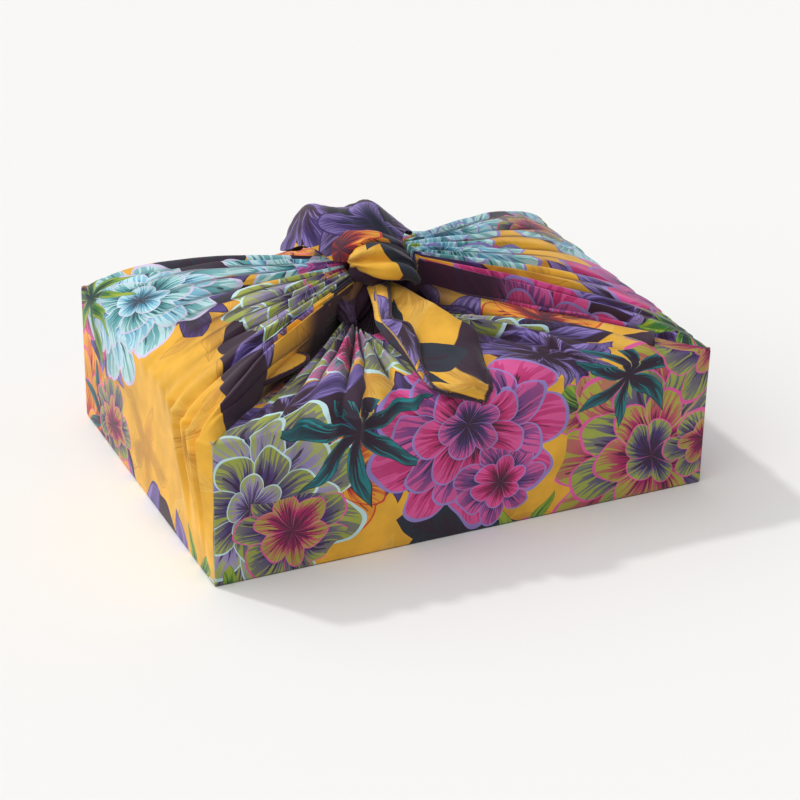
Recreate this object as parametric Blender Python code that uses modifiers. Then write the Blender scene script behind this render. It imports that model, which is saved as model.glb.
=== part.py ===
"""A furoshiki wrap: one square cloth drawn up round a flat box form and tied corner to corner.

The cloth is one hollow solid. Its skin starts under the base, climbs the four walls, folds over
the top edges and runs in pleats to the ties. The first tie lies low at the front, the second is
the round knot on top. X runs along the long side, -Y is the front, and Z = 0 is the surface below.
"""

import math
from collections import namedtuple

import bmesh
import bpy
from mathutils import Vector

MM = 0.001

# The wrapped form, outside the cloth
LENGTH = 0.280
DEPTH = 0.2044
HEIGHT = 0.0798
CLOTH = 0.0022
FOOT_RADIUS = 0.0030
BRIM_RADIUS = 0.0024
CORNER_ROOM = 0.0060
CORNER_CUT = 0.0016
LOWER_RING = 0.33
UPPER_RING = 0.66

# How a pleat grows from the brim to its tie
PLEAT_LENGTH = 0.45
CROWN_SHIFT = 0.62
PLEAT_ROUNDNESS = 2.2
STEPS_PER_FLANK = 2
FAN_ROWS = 9
LID_CLEARANCE = 0.0012
GUTTER = 0.0030
LEAN_LIMIT = 0.35
SWELL = 0.0030
SWELL_FADE = 0.22

# Where all four ears meet, inside the knot
HEART = Vector((-0.007, -0.002, 0.101))
HEART_RADIUS = 0.0045
HEART_ROWS = 2

# The way in at the back, between two ears
GAP_LENGTH = 0.050
GAP_WIDTH = 0.0085
GAP_HEIGHT = 0.030
GAP_REACH = 0.44

# The round knot, turned about its own middle
KNOT = Vector((-0.0125, -0.0020, 0.1110))
KNOT_HALF = Vector((0.0235, 0.0145, 0.0140))
ROLL_SIDES = 10
SHEET_STEPS = 3

Side = namedtuple("Side", "outward along half")
Ear = namedtuple("Ear", "side tie spread")
Pleat = namedtuple("Pleat", "ear start foot crown deep down")
Station = namedtuple("Station", "x y z wide thick")
Row = namedtuple("Row", "left middle right")

# Anticlockwise from above, each side running along from its first corner to its second
SIDES = {
    "front": Side(Vector((0, -1, 0)), Vector((1, 0, 0)), LENGTH / 2),
    "right": Side(Vector((1, 0, 0)), Vector((0, 1, 0)), DEPTH / 2),
    "back": Side(Vector((0, 1, 0)), Vector((-1, 0, 0)), LENGTH / 2),
    "left": Side(Vector((-1, 0, 0)), Vector((0, -1, 0)), DEPTH / 2),
}

# An ear is gathered at its tie, and spread runs half way across the bunch towards its last pleat
EARS = {
    "front": Ear("front", Vector((-0.0240, -0.0480, 0.0885)), Vector((0.0065, -0.0010, 0.0))),
    "lap": Ear("front", Vector((0.0060, -0.0210, 0.0900)), Vector((0.0035, 0.0025, 0.0))),
    "right": Ear("right", Vector((0.0130, 0.0010, 0.1175)), Vector((-0.0010, 0.0075, 0.0030))),
    "back": Ear("back", Vector((0.0020, 0.0400, 0.0890)), Vector((-0.0075, 0.0, 0.0))),
    "left": Ear("left", Vector((-0.0250, 0.0010, 0.1110)), Vector((0.0010, -0.0075, -0.0045))),
}

# start and foot: place along the brim and along the base, -1 to 1 from corner to corner. crown: rise
# in mm above the straight line from brim to tie. deep: depth in mm of the valley that follows.
# down: how far in mm the pleat runs down the wall
PLEATS = [
    Pleat("front", -0.86, -0.86, 1.0, 3.5, 20.0),
    Pleat("front", -0.64, -0.70, 4.0, 4.5, 26.0),
    Pleat("front", -0.52, -0.54, 5.0, 5.0, 30.0),
    Pleat("front", -0.37, -0.38, 5.5, 5.0, 28.0),
    Pleat("front", -0.25, -0.22, 4.5, 4.0, 20.0),
    Pleat("front", -0.06, 0.00, 2.0, 3.0, 8.0),
    Pleat("lap", 0.47, 0.50, 6.5, 3.0, 6.0),
    Pleat("lap", 0.97, 0.97, 2.5, 3.0, 4.0),
    Pleat("right", -0.97, -0.97, 2.5, 3.5, 4.0),
    Pleat("right", -0.80, -0.84, 6.0, 4.0, 8.0),
    Pleat("right", -0.46, -0.46, 8.0, 4.0, 10.0),
    Pleat("right", -0.08, -0.08, 8.5, 3.5, 8.0),
    Pleat("right", 0.36, 0.36, 10.0, 4.0, 10.0),
    Pleat("right", 0.88, 0.94, 7.0, 3.0, 30.0),
    Pleat("back", -0.74, -0.80, 2.0, 4.0, 20.0),
    Pleat("back", -0.44, -0.50, 4.0, 4.5, 24.0),
    Pleat("back", -0.18, -0.18, 4.5, 4.5, 26.0),
    Pleat("back", 0.08, 0.10, 4.5, 4.5, 26.0),
    Pleat("back", 0.36, 0.42, 4.0, 4.0, 20.0),
    Pleat("back", 0.80, 0.88, 2.0, 3.0, 16.0),
    Pleat("left", -0.88, -0.95, 16.0, 4.5, 40.0),
    Pleat("left", -0.52, -0.62, 14.0, 3.5, 14.0),
    Pleat("left", -0.10, -0.14, 10.0, 3.5, 12.0),
    Pleat("left", 0.20, 0.24, 7.0, 3.5, 10.0),
    Pleat("left", 0.42, 0.52, 5.5, 3.5, 10.0),
    Pleat("left", 0.61, 0.76, 4.0, 4.5, 60.0),
    Pleat("left", 0.81, 0.90, 3.5, 4.0, 72.0),
    Pleat("left", 0.99, 0.99, 2.0, 3.0, 76.0),
]

# The knot's bands, in mm from the ground: the bend at its left, the band over it and the front one
BEND = [
    Station(-30.0, 6.0, 100.0, 9.0, 7.0),
    Station(-36.0, 2.0, 105.0, 11.0, 7.5),
    Station(-38.5, -2.5, 112.5, 12.0, 8.0),
    Station(-35.5, -4.0, 120.0, 12.0, 8.0),
    Station(-28.0, -4.0, 124.0, 12.0, 7.5),
]
OVER_BAND = [
    Station(-33.0, -4.0, 107.0, 14.0, 7.0),
    Station(-30.0, -5.5, 117.0, 18.0, 8.5),
    Station(-21.0, -5.0, 124.5, 20.0, 9.0),
    Station(-9.5, -2.0, 127.0, 20.0, 9.0),
    Station(1.0, 2.0, 123.5, 17.0, 8.5),
    Station(8.0, 5.0, 116.0, 13.0, 7.5),
]
FRONT_BAND = [
    Station(-27.0, -8.0, 109.0, 6.0, 5.0),
    Station(-22.0, -14.0, 111.0, 13.0, 7.5),
    Station(-13.0, -18.0, 111.5, 19.0, 9.5),
    Station(-2.0, -19.0, 109.0, 22.0, 10.5),
    Station(6.5, -15.0, 105.0, 20.0, 10.0),
    Station(11.0, -8.0, 102.0, 15.0, 8.5),
    Station(11.0, 0.0, 101.0, 11.0, 7.0),
]
FIRST_TIE = [
    Station(-35.0, -44.0, 84.0, 7.0, 5.0),
    Station(-31.5, -48.0, 91.0, 9.0, 5.5),
    Station(-23.5, -50.0, 94.5, 10.0, 6.0),
    Station(-15.5, -48.0, 91.0, 9.0, 5.5),
    Station(-12.0, -44.0, 84.0, 7.0, 5.0),
]

# The free ends, row by row from the tie out to the tip, in mm
FRONT_END = [
    Row((-17.0, -4.0, 104.0), (-9.0, -9.0, 107.0), (-3.0, -7.0, 107.0)),
    Row((-20.0, -19.0, 100.0), (-10.0, -22.0, 106.0), (1.0, -23.0, 105.0)),
    Row((-25.0, -38.0, 96.0), (-12.0, -40.0, 101.0), (4.5, -41.0, 103.0)),
    Row((-24.5, -63.0, 92.0), (-8.0, -60.0, 93.5), (11.0, -58.0, 99.0)),
    Row((-27.0, -85.0, 88.5), (-8.0, -80.0, 88.5), (12.5, -77.0, 94.0)),
    Row((-22.0, -101.0, 85.0), (-5.0, -96.0, 86.5), (11.0, -94.0, 88.0)),
    Row((-2.0, -106.5, 80.5), (3.0, -106.0, 81.0), (9.0, -105.5, 81.5)),
]
BACK_END = [
    Row((-19.0, 2.0, 112.0), (-11.0, 3.0, 116.0), (-2.0, 2.0, 112.0)),
    Row((-34.0, 10.0, 114.0), (-12.0, 9.0, 126.0), (10.0, 10.0, 117.0)),
    Row((-47.0, 20.0, 114.0), (-15.0, 20.0, 132.0), (24.0, 21.0, 115.0)),
    Row((-47.0, 35.0, 114.0), (-14.0, 34.0, 136.0), (29.0, 36.0, 111.0)),
    Row((-38.0, 52.0, 106.0), (-10.0, 53.0, 127.0), (26.0, 54.0, 104.0)),
    Row((-22.0, 70.0, 97.0), (-5.0, 72.0, 108.0), (17.0, 72.0, 96.0)),
    Row((-5.0, 88.0, 90.0), (0.0, 89.0, 92.0), (6.0, 89.0, 90.0)),
]
RIGHT_END = [
    Row((8.0, -6.0, 90.0), (7.0, -9.0, 91.5), (5.0, -13.0, 88.0)),
    Row((34.0, -14.0, 90.5), (32.0, -19.0, 92.0), (29.0, -23.0, 87.5)),
    Row((61.0, -34.0, 90.0), (58.0, -39.0, 91.5), (54.0, -43.0, 87.0)),
    Row((88.0, -58.0, 88.0), (85.0, -63.0, 89.5), (81.0, -66.0, 86.0)),
    Row((109.0, -77.0, 86.0), (106.0, -81.0, 87.0), (103.0, -84.0, 85.0)),
]
LEFT_END = [
    Row((-25.0, -24.0, 88.0), (-26.0, -30.0, 90.0), (-25.0, -36.0, 88.0)),
    Row((-40.0, -29.0, 87.0), (-42.0, -38.0, 87.5), (-40.0, -48.0, 86.0)),
    Row((-56.0, -34.0, 86.5), (-58.0, -46.0, 86.5), (-54.0, -59.0, 85.5)),
    Row((-66.0, -52.0, 85.5), (-66.0, -60.0, 85.5), (-65.0, -72.0, 85.0)),
]


def smooth_step(value):
    value = min(max(value, 0.0), 1.0)
    return value * value * (3.0 - 2.0 * value)


def mix(low, high, share):
    return low * (1.0 - share) + high * share


def side_reach(side):
    """How far a side's outer face stands from the middle of the form."""
    return LENGTH / 2 if side.outward.x else DEPTH / 2


def brim_point(side, start):
    """The place on the top outline of a side, kept a little off the corners."""
    return side.outward * side_reach(side) + side.along * start * (side.half - CORNER_ROOM)


class Rib:
    """One line of the skin, from the base to the tie: a pleat's crest or the foot of its flank."""

    def __init__(self, base, brim, inward, tie, crown=0.0, drop=0.0, down=0.0):
        self.base = base
        self.brim = brim
        self.inward = inward
        self.tie = tie
        self.crown = crown
        self.drop = drop
        self.down = down

    def wall(self, height, inset):
        """The point on the wall at a height, where a pleat swells out below its brim."""
        point = mix(self.base, self.brim, height / HEIGHT)
        swell = smooth_step((height - HEIGHT + self.down) / self.down) if self.down else 0.0
        point += self.inward * (inset - SWELL * swell)
        point.z = height
        return point

    def fan(self, reach):
        """The point at a share of the way from the brim, 0, to the tie, 1."""
        swell = SWELL * (1.0 - smooth_step(reach / SWELL_FADE)) if self.down else 0.0
        point = mix(self.brim + self.inward * BRIM_RADIUS, self.tie, reach) - self.inward * swell
        grown = smooth_step(reach / PLEAT_LENGTH)
        rise = math.sin(math.pi * reach**CROWN_SHIFT) * self.crown
        height = mix(HEIGHT, self.tie.z, reach) + rise - grown * self.drop
        point.z = max(height, HEIGHT + LID_CLEARANCE * grown)
        return point


class Column:
    """A line between a crest and the foot of its flank, share 0 to 1, and its lining below."""

    def __init__(self, crest, foot, share, at_corner=False):
        self.crest = crest
        self.foot = foot
        self.share = share
        self.at_corner = at_corner
        self.height_share = 1.0 - share**PLEAT_ROUNDNESS

    def wall(self, height, inset):
        crest, foot = self.crest.wall(height, inset), self.foot.wall(height, inset)
        return mix(crest, foot, self.share)

    def outer(self, reach):
        crest, foot = self.crest.fan(reach), self.foot.fan(reach)
        point = mix(crest, foot, self.share)
        point.z = mix(foot.z, crest.z, self.height_share)
        return point

    def inner(self, reach):
        """The point on the inner face: straight down, and towards the crest on a steep flank."""
        sideways = self.crest.fan(reach) - self.foot.fan(reach)
        fall = abs(sideways.z)
        sideways.z = 0.0
        width = max(sideways.length, CLOTH / 10)
        bend = math.sin(math.pi * self.share * (0.5 if self.at_corner else 1.0))
        lean = min(CLOTH * min(fall / width, 1.0), LEAN_LIMIT * width) * bend
        return self.outer(reach) + sideways / width * lean - Vector((0, 0, CLOTH))


def crest_of(pleat, share):
    """The crest of a pleat that ends at this share, -1 to 1, of its ear's bunch."""
    ear = EARS[pleat.ear]
    side = SIDES[ear.side]
    base, brim = brim_point(side, pleat.foot), brim_point(side, pleat.start)
    tie = ear.tie + ear.spread * share
    return Rib(base, brim, -side.outward, tie, pleat.crown * MM, 0.0, pleat.down * MM)


def valley_between(first, second, deep):
    """The floor of the valley between two crests of one side."""
    base, brim = (first.base + second.base) / 2, (first.brim + second.brim) / 2
    crown = (first.crown + second.crown) / 2
    return Rib(base, brim, first.inward, (first.tie + second.tie) / 2, crown, deep)


def gutter_between(first, second, deep):
    """The two feet of the gutter that runs from a corner to the ties, one for each side."""
    corner = Vector((0, 0, 0))
    for crest in (first, second):
        corner -= crest.inward * abs(crest.inward.dot(crest.brim))
    middle = (first.tie + second.tie) / 2
    middle.z = min(first.tie.z, second.tie.z)
    apart = second.tie - first.tie
    apart.z = 0.0
    inward = first.inward + second.inward
    feet = []
    for crest, sign in ((first, -1), (second, 1)):
        back = (crest.brim - corner).normalized()
        tie = middle + apart.normalized() * sign * min(GUTTER, apart.length / 4)
        foot = corner + back * CORNER_CUT
        feet.append(Rib(foot, foot, inward, tie, 0.0, deep))
    return feet


def columns_of_the_skin():
    """Every line of the skin, once round the form, from the first crest of the front."""
    crests = []
    for name in EARS:
        pleats = [pleat for pleat in PLEATS if pleat.ear == name]
        last = max(len(pleats) - 1, 1)
        crests += [(pleat, crest_of(pleat, 2 * index / last - 1)) for index, pleat in enumerate(pleats)]
    columns = []
    for index, (pleat, crest) in enumerate(crests):
        other_pleat, other = crests[(index + 1) % len(crests)]
        if EARS[pleat.ear].side == EARS[other_pleat.ear].side:
            at_corner, feet = False, [valley_between(crest, other, pleat.deep * MM)]
        else:
            at_corner, feet = True, gutter_between(crest, other, pleat.deep * MM)
        shares = [step / STEPS_PER_FLANK for step in range(STEPS_PER_FLANK + 1)]
        columns += [Column(crest, feet[0], share, at_corner) for share in shares]
        falling = [Column(other, feet[-1], share, at_corner) for share in reversed(shares[1:])]
        columns += falling if at_corner else falling[1:]
    return columns


def wall_rows():
    """Inset and height of each outer ring below the fans, from the base to the brim."""
    cut = 1.0 - math.sqrt(0.5)
    yield FOOT_RADIUS, 0.0
    yield FOOT_RADIUS * cut, FOOT_RADIUS * cut
    yield 0.0, FOOT_RADIUS
    yield 0.0, HEIGHT * LOWER_RING
    yield 0.0, HEIGHT * UPPER_RING
    yield 0.0, HEIGHT - BRIM_RADIUS
    yield BRIM_RADIUS * cut, HEIGHT - BRIM_RADIUS * cut


def wall_linings():
    """Inset and height of each inner ring below the fans, from the base to the brim."""
    yield FOOT_RADIUS + CLOTH / 2, CLOTH
    yield CLOTH + FOOT_RADIUS / 3, CLOTH + FOOT_RADIUS / 3
    yield CLOTH, CLOTH + FOOT_RADIUS
    yield CLOTH, HEIGHT * UPPER_RING
    yield CLOTH, HEIGHT - BRIM_RADIUS - CLOTH / 2


def heart_point(point, share, height):
    """Part of the way from the ties to the small ring where the four ears meet."""
    away = point - HEART
    away.z = 0.0
    ring = HEART + away.normalized() * HEART_RADIUS
    ring.z = height
    return mix(point, ring, smooth_step(share))


def skin_rings():
    """Closed rings of points: up the outside, through the heart and down the inside."""
    columns = columns_of_the_skin()
    outside = []
    for inset, height in wall_rows():
        outside.append([column.wall(height, inset) for column in columns])
    inside = []
    for inset, height in wall_linings():
        inside.append([column.wall(height, inset) for column in columns])
    for row in range(FAN_ROWS + 1):
        reach = row / FAN_ROWS
        outside.append([column.outer(reach) for column in columns])
        inside.append([column.inner(reach) for column in columns])
    outer_tie, inner_tie = outside[-1], inside[-1]
    for row in range(1, HEART_ROWS + 1):
        share = row / HEART_ROWS
        outside.append([heart_point(point, share, HEART.z) for point in outer_tie])
        inside.append([heart_point(point, share, HEART.z - CLOTH) for point in inner_tie])
    return outside + inside[::-1]


def solid_from_rings(name, rings, collection):
    """A closed body lofted through rings of equal length, its first and last ring capped."""
    mesh = bmesh.new()
    loops = [[mesh.verts.new(point) for point in ring] for ring in rings]
    count = len(rings[0])
    for low, high in zip(loops, loops[1:]):
        for index in range(count):
            after = (index + 1) % count
            mesh.faces.new((low[index], low[after], high[after], high[index]))
    mesh.faces.new(loops[0][::-1])
    mesh.faces.new(loops[-1])
    bmesh.ops.recalc_face_normals(mesh, faces=mesh.faces)
    bmesh.ops.triangulate(mesh, faces=mesh.faces)
    return object_from(mesh, name, collection)


def object_from(mesh, name, collection):
    data = bpy.data.meshes.new(name)
    mesh.to_mesh(data)
    mesh.free()
    made = bpy.data.objects.new(name, data)
    collection.objects.link(made)
    return made


def rolled_band(name, stations, collection):
    """A gathered band of cloth with an oval section, laid round the knot along its stations."""
    centres = [Vector((station.x, station.y, station.z)) * MM for station in stations]
    rings = []
    for index, station in enumerate(stations):
        before, after = centres[max(index - 1, 0)], centres[min(index + 1, len(centres) - 1)]
        run = (after - before).normalized()
        lift = centres[index] - KNOT
        lift = (lift - run * lift.dot(run)).normalized()
        across = run.cross(lift)
        ring = []
        for corner in range(ROLL_SIDES):
            angle = 2 * math.pi * corner / ROLL_SIDES
            offset = across * math.cos(angle) * station.wide + lift * math.sin(angle) * station.thick
            ring.append(centres[index] + offset * MM / 2)
        rings.append(ring)
    return solid_from_rings(name, rings, collection)


def free_end(name, rows, collection):
    """A loose corner of the cloth: a sheet through its rows, with the cloth's thickness."""
    mesh = bmesh.new()
    grid = []
    for row in rows:
        left, middle, right = (Vector(point) * MM for point in row)
        line = []
        for step in range(2 * SHEET_STEPS + 1):
            share = step / SHEET_STEPS - 1.0
            bow = middle - (left + right) / 2
            line.append(mesh.verts.new(mix(left, right, (share + 1) / 2) + bow * (1 - share * share)))
        grid.append(line)
    for low, high in zip(grid, grid[1:]):
        for index in range(2 * SHEET_STEPS):
            mesh.faces.new((low[index], low[index + 1], high[index + 1], high[index]))
    sheet = object_from(mesh, name, collection)
    shell = sheet.modifiers.new("Cloth", "SOLIDIFY")
    shell.thickness = CLOTH
    shell.offset = 0.0
    return sheet


def knot_core(collection):
    """The packed cloth inside the knot."""
    mesh = bmesh.new()
    bmesh.ops.create_icosphere(mesh, subdivisions=2, radius=1.0)
    for vertex in mesh.verts:
        vertex.co = KNOT + Vector(a * b for a, b in zip(vertex.co, KNOT_HALF))
    return object_from(mesh, "KnotCore", collection)


def gap_cutter(collection):
    """A slim block along the gutter between the right and the back ear."""
    right = [pleat for pleat in PLEATS if pleat.ear == "right"][-1]
    back = [pleat for pleat in PLEATS if pleat.ear == "back"][0]
    feet = gutter_between(crest_of(right, 1.0), crest_of(back, -1.0), 0.0)
    outer_end = (feet[0].brim + feet[1].brim) / 2
    inner_end = (feet[0].tie + feet[1].tie) / 2
    middle = mix(outer_end, inner_end, GAP_REACH)
    run = inner_end - outer_end
    mesh = bmesh.new()
    bmesh.ops.create_cube(mesh, size=1.0)
    bmesh.ops.scale(mesh, vec=(GAP_LENGTH, GAP_WIDTH, GAP_HEIGHT), verts=mesh.verts)
    cutter = object_from(mesh, "GapCutter", collection)
    cutter.location = (middle.x, middle.y, HEIGHT)
    cutter.rotation_euler.z = math.atan2(run.y, run.x)
    return cutter


def cloth_material():
    """Printed cotton: the mustard of its ground."""
    material = bpy.data.materials.new("PrintedCotton")
    material.use_nodes = True
    shader = material.node_tree.nodes["Principled BSDF"]
    shader.inputs["Base Color"].default_value = (0.80, 0.42, 0.05, 1.0)
    shader.inputs["Roughness"].default_value = 0.85
    shader.inputs["Metallic"].default_value = 0.0
    return material


def new_collection(name):
    collection = bpy.data.collections.new(name)
    bpy.context.scene.collection.children.link(collection)
    return collection


def main():
    for old in list(bpy.data.objects):
        bpy.data.objects.remove(old, do_unlink=True)
    wrap = new_collection("FuroshikiWrap")
    helpers = new_collection("Helpers")

    cloth = solid_from_rings("furoshiki_cloth", skin_rings(), wrap)
    cloth.data.materials.append(cloth_material())
    joined = [
        knot_core(helpers),
        rolled_band("Bend", BEND, helpers),
        rolled_band("OverBand", OVER_BAND, helpers),
        rolled_band("FrontBand", FRONT_BAND, helpers),
        rolled_band("FirstTie", FIRST_TIE, helpers),
        free_end("FrontEnd", FRONT_END, helpers),
        free_end("BackEnd", BACK_END, helpers),
        free_end("RightEnd", RIGHT_END, helpers),
        free_end("LeftEnd", LEFT_END, helpers),
    ]
    for piece in joined:
        add_boolean(cloth, piece, "UNION")
    add_boolean(cloth, gap_cutter(helpers), "DIFFERENCE")


def add_boolean(target, tool, operation):
    tool.hide_render = True
    tool.display_type = "WIRE"
    cut = target.modifiers.new(tool.name, "BOOLEAN")
    cut.operation = operation
    cut.object = tool


if __name__ == "__main__":
    main()
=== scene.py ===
"""Looks for a furoshiki tied round a flat box form: a thin printed cotton cloth over the frame.

Everything is in metres in the frame's own axes: X runs along the long side, -Y is the front and
Z = 0 is the surface below.
"""

import math
from collections import namedtuple

import bmesh
import bpy
from bpy.props import FloatProperty, FloatVectorProperty, PointerProperty
from mathutils import Matrix, Vector, noise


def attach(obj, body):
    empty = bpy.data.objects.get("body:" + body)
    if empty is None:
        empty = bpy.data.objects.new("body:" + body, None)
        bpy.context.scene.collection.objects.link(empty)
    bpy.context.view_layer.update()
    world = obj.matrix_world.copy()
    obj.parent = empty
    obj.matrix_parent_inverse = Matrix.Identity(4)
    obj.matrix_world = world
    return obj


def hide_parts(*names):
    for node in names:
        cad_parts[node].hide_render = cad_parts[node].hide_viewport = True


bl_info = {
    "name": "Furoshiki Wrap",
    "version": (1, 0, 0),
    "blender": (4, 5, 0),
    "location": "3D View > Sidebar > Furoshiki",
    "description": "A printed cotton furoshiki tied with four corners over a flat box form",
    "category": "Object",
}

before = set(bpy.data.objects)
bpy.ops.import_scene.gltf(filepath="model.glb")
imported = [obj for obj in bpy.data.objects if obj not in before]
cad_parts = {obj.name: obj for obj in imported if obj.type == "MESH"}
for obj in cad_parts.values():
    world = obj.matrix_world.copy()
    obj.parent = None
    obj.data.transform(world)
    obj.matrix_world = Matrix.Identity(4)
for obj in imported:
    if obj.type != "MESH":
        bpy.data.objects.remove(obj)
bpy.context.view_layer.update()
CAD_CLOTH = "furoshiki_cloth"
MM = 0.001

# Shape of the wrapped form's edges
FOOT_RADIUS = 0.0014
BRIM_RADIUS = 0.0018
CORNER_ROOM = 0.0060
CORNER_CUT = 0.0005

# How a pleat grows from the brim to its tie
PLEAT_LENGTH = 0.50
CROWN_SHIFT = 0.62
BROAD_PLEAT = 2.2
TIGHT_PLEAT = 2.8
LID_CLEARANCE = 0.0012
GUTTER = 0.0030
SWELL = 0.0014
LONG_FOLD = 0.024
VALLEY_INSET = 0.30
SHORT_FOLD = 0.015
SWELL_FADE = 0.22
SPREAD = 0.25
BULGE = 0.10
HEART_SAG = 0.0110
STRAY = 0.0016
RIPPLE = 0.6

# Thickness of the rolled hem, and the plain cloth's share of it. EDGE_DENSITY: how much closer the
# faces lie at a loose end's edges
HEM_THICKNESS = 0.0021
PLAIN_SHARE = 0.36
EDGE_DENSITY = 0.72

# Ruffles of the whole skin, how many to the metre and how deep, broad ones and drawn ones that run
# up the walls. They fade out towards the base
RUFFLES = 22.0
RUFFLE_DEPTH = 0.0007
DRAWN_RUFFLES = (60.0, 60.0, 18.0)
DRAWN_DEPTH = 0.00045
RUFFLE_FADE = 0.02

# Creases and dents of the loose ends: how many to the metre, and the dents' depth in mm. An edge with
# no hem starts it past the end of the run
CREASES_ACROSS = 160.0
CREASES_ALONG = 28.0
DENTS = 60.0
DENT_DEPTH = 0.4
NO_HEM = 2.0

# Folds round the gathered bundle, their depth as a share of its radius, how they turn along it, how
# finely it is meshed, and where on the flat cloth it lies
BUNDLE_FOLDS = 9
BUNDLE_FOLD = 0.13
BUNDLE_DENT = 0.05
BUNDLE_TWIST = 1.5
BUNDLE_WAVES = 40
BUNDLE_STEPS = 44
BUNDLE_SIDES = 60
BUNDLE_GATHER = 1 / 2.6
BUNDLE_ORIGIN = (-0.28, -0.38)
# Painted shade over the whole bundle, which lies in the shade of the knot
BUNDLE_SHADE = 0.85
CORE_FOLD = 0.05
CORE_ORIGIN = (0.21, 0.11)

# A flank beside a gutter: where its two ropes fall away, each as a start and a width, and the second
# one's crown, as a place, a width and a height
ROPE_FALL = (0.03, 0.18)
SECOND_FALL = (0.38, 0.20)
SECOND_CROWN = (0.33, 0.08, 0.10)

# Painted shade on such a flank, laid where little light reaches: in the crease between its ropes, as a
# place, a width and a depth, in its hollow, and all over near the knot, as a start and a width. The same
# for the foot of a valley
CREASE_SHADE = (0.20, 0.05, 0.85)
HOLLOW_SHADE = (0.40, 0.12)
WHOLE_SHADE = (-0.02, 0.07)
KNOT_REACH = (0.60, 0.15)
VALLEY_SHADE_SPAN = (0.66, 0.34)
VALLEY_REACH = (0.06, 0.40)
VALLEY_SHADE = 0.75

# How dark the painted shade is deep between two ears, where little light reaches, and where it begins
# on each ear's way to its tie
DEEP_SHADE = 0.97
DEEP_FADE = 0.30
DEEP_START = {"front": 0.62, "lap": 0.55, "right": 0.20, "back": 0.50, "left": 0.10}

# How finely the cloth is meshed
FLANK_STEPS = 6
GUTTER_STEPS = 20
WALL_STEPS = 9
FAN_STEPS = 47
HEART_STEPS = 8

# Where all four ears meet, inside the knot
HEART = Vector((-0.007, -0.002, 0.101))
HEART_RADIUS = 0.0045
KNOT = Vector((-0.0125, -0.0020, 0.1110))
KNOT_HALF = Vector((0.0155, 0.0105, 0.0105))
CORE = Vector((-0.0090, -0.0020, 0.1115))

Side = namedtuple("Side", "outward along half reach")
Ear = namedtuple("Ear", "side tie spread")
Pleat = namedtuple("Pleat", "ear start foot crown deep down lean late")
Station = namedtuple("Station", "x y z wide thick")
Crease = namedtuple("Crease", "place width depth start")
Sheet = namedtuple("Sheet", "name net origin steps hems dark_root flap creased wide long")
Layer = namedtuple("Layer", "name size shift jitter share swell sector far quiet palette rings")
Ring = namedtuple("Ring", "petals turn reach notch point inner")

# An ear is gathered at its tie, and spread runs half way across the bunch towards its last pleat
EARS = {
    "front": Ear("front", Vector((-0.0303, -0.0280, 0.0905)), Vector((0.0041, -0.0083, -0.0015))),
    "lap": Ear("front", Vector((0.0060, -0.0210, 0.0900)), Vector((0.0035, 0.0025, 0.0))),
    "right": Ear("right", Vector((0.0130, 0.0010, 0.1175)), Vector((-0.0010, 0.0075, 0.0030))),
    "back": Ear("back", Vector((0.0020, 0.0400, 0.0890)), Vector((-0.0075, 0.0, 0.0))),
    "left": Ear("left", Vector((-0.0250, 0.0010, 0.1110)), Vector((0.0010, -0.0075, -0.0045))),
}

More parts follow.
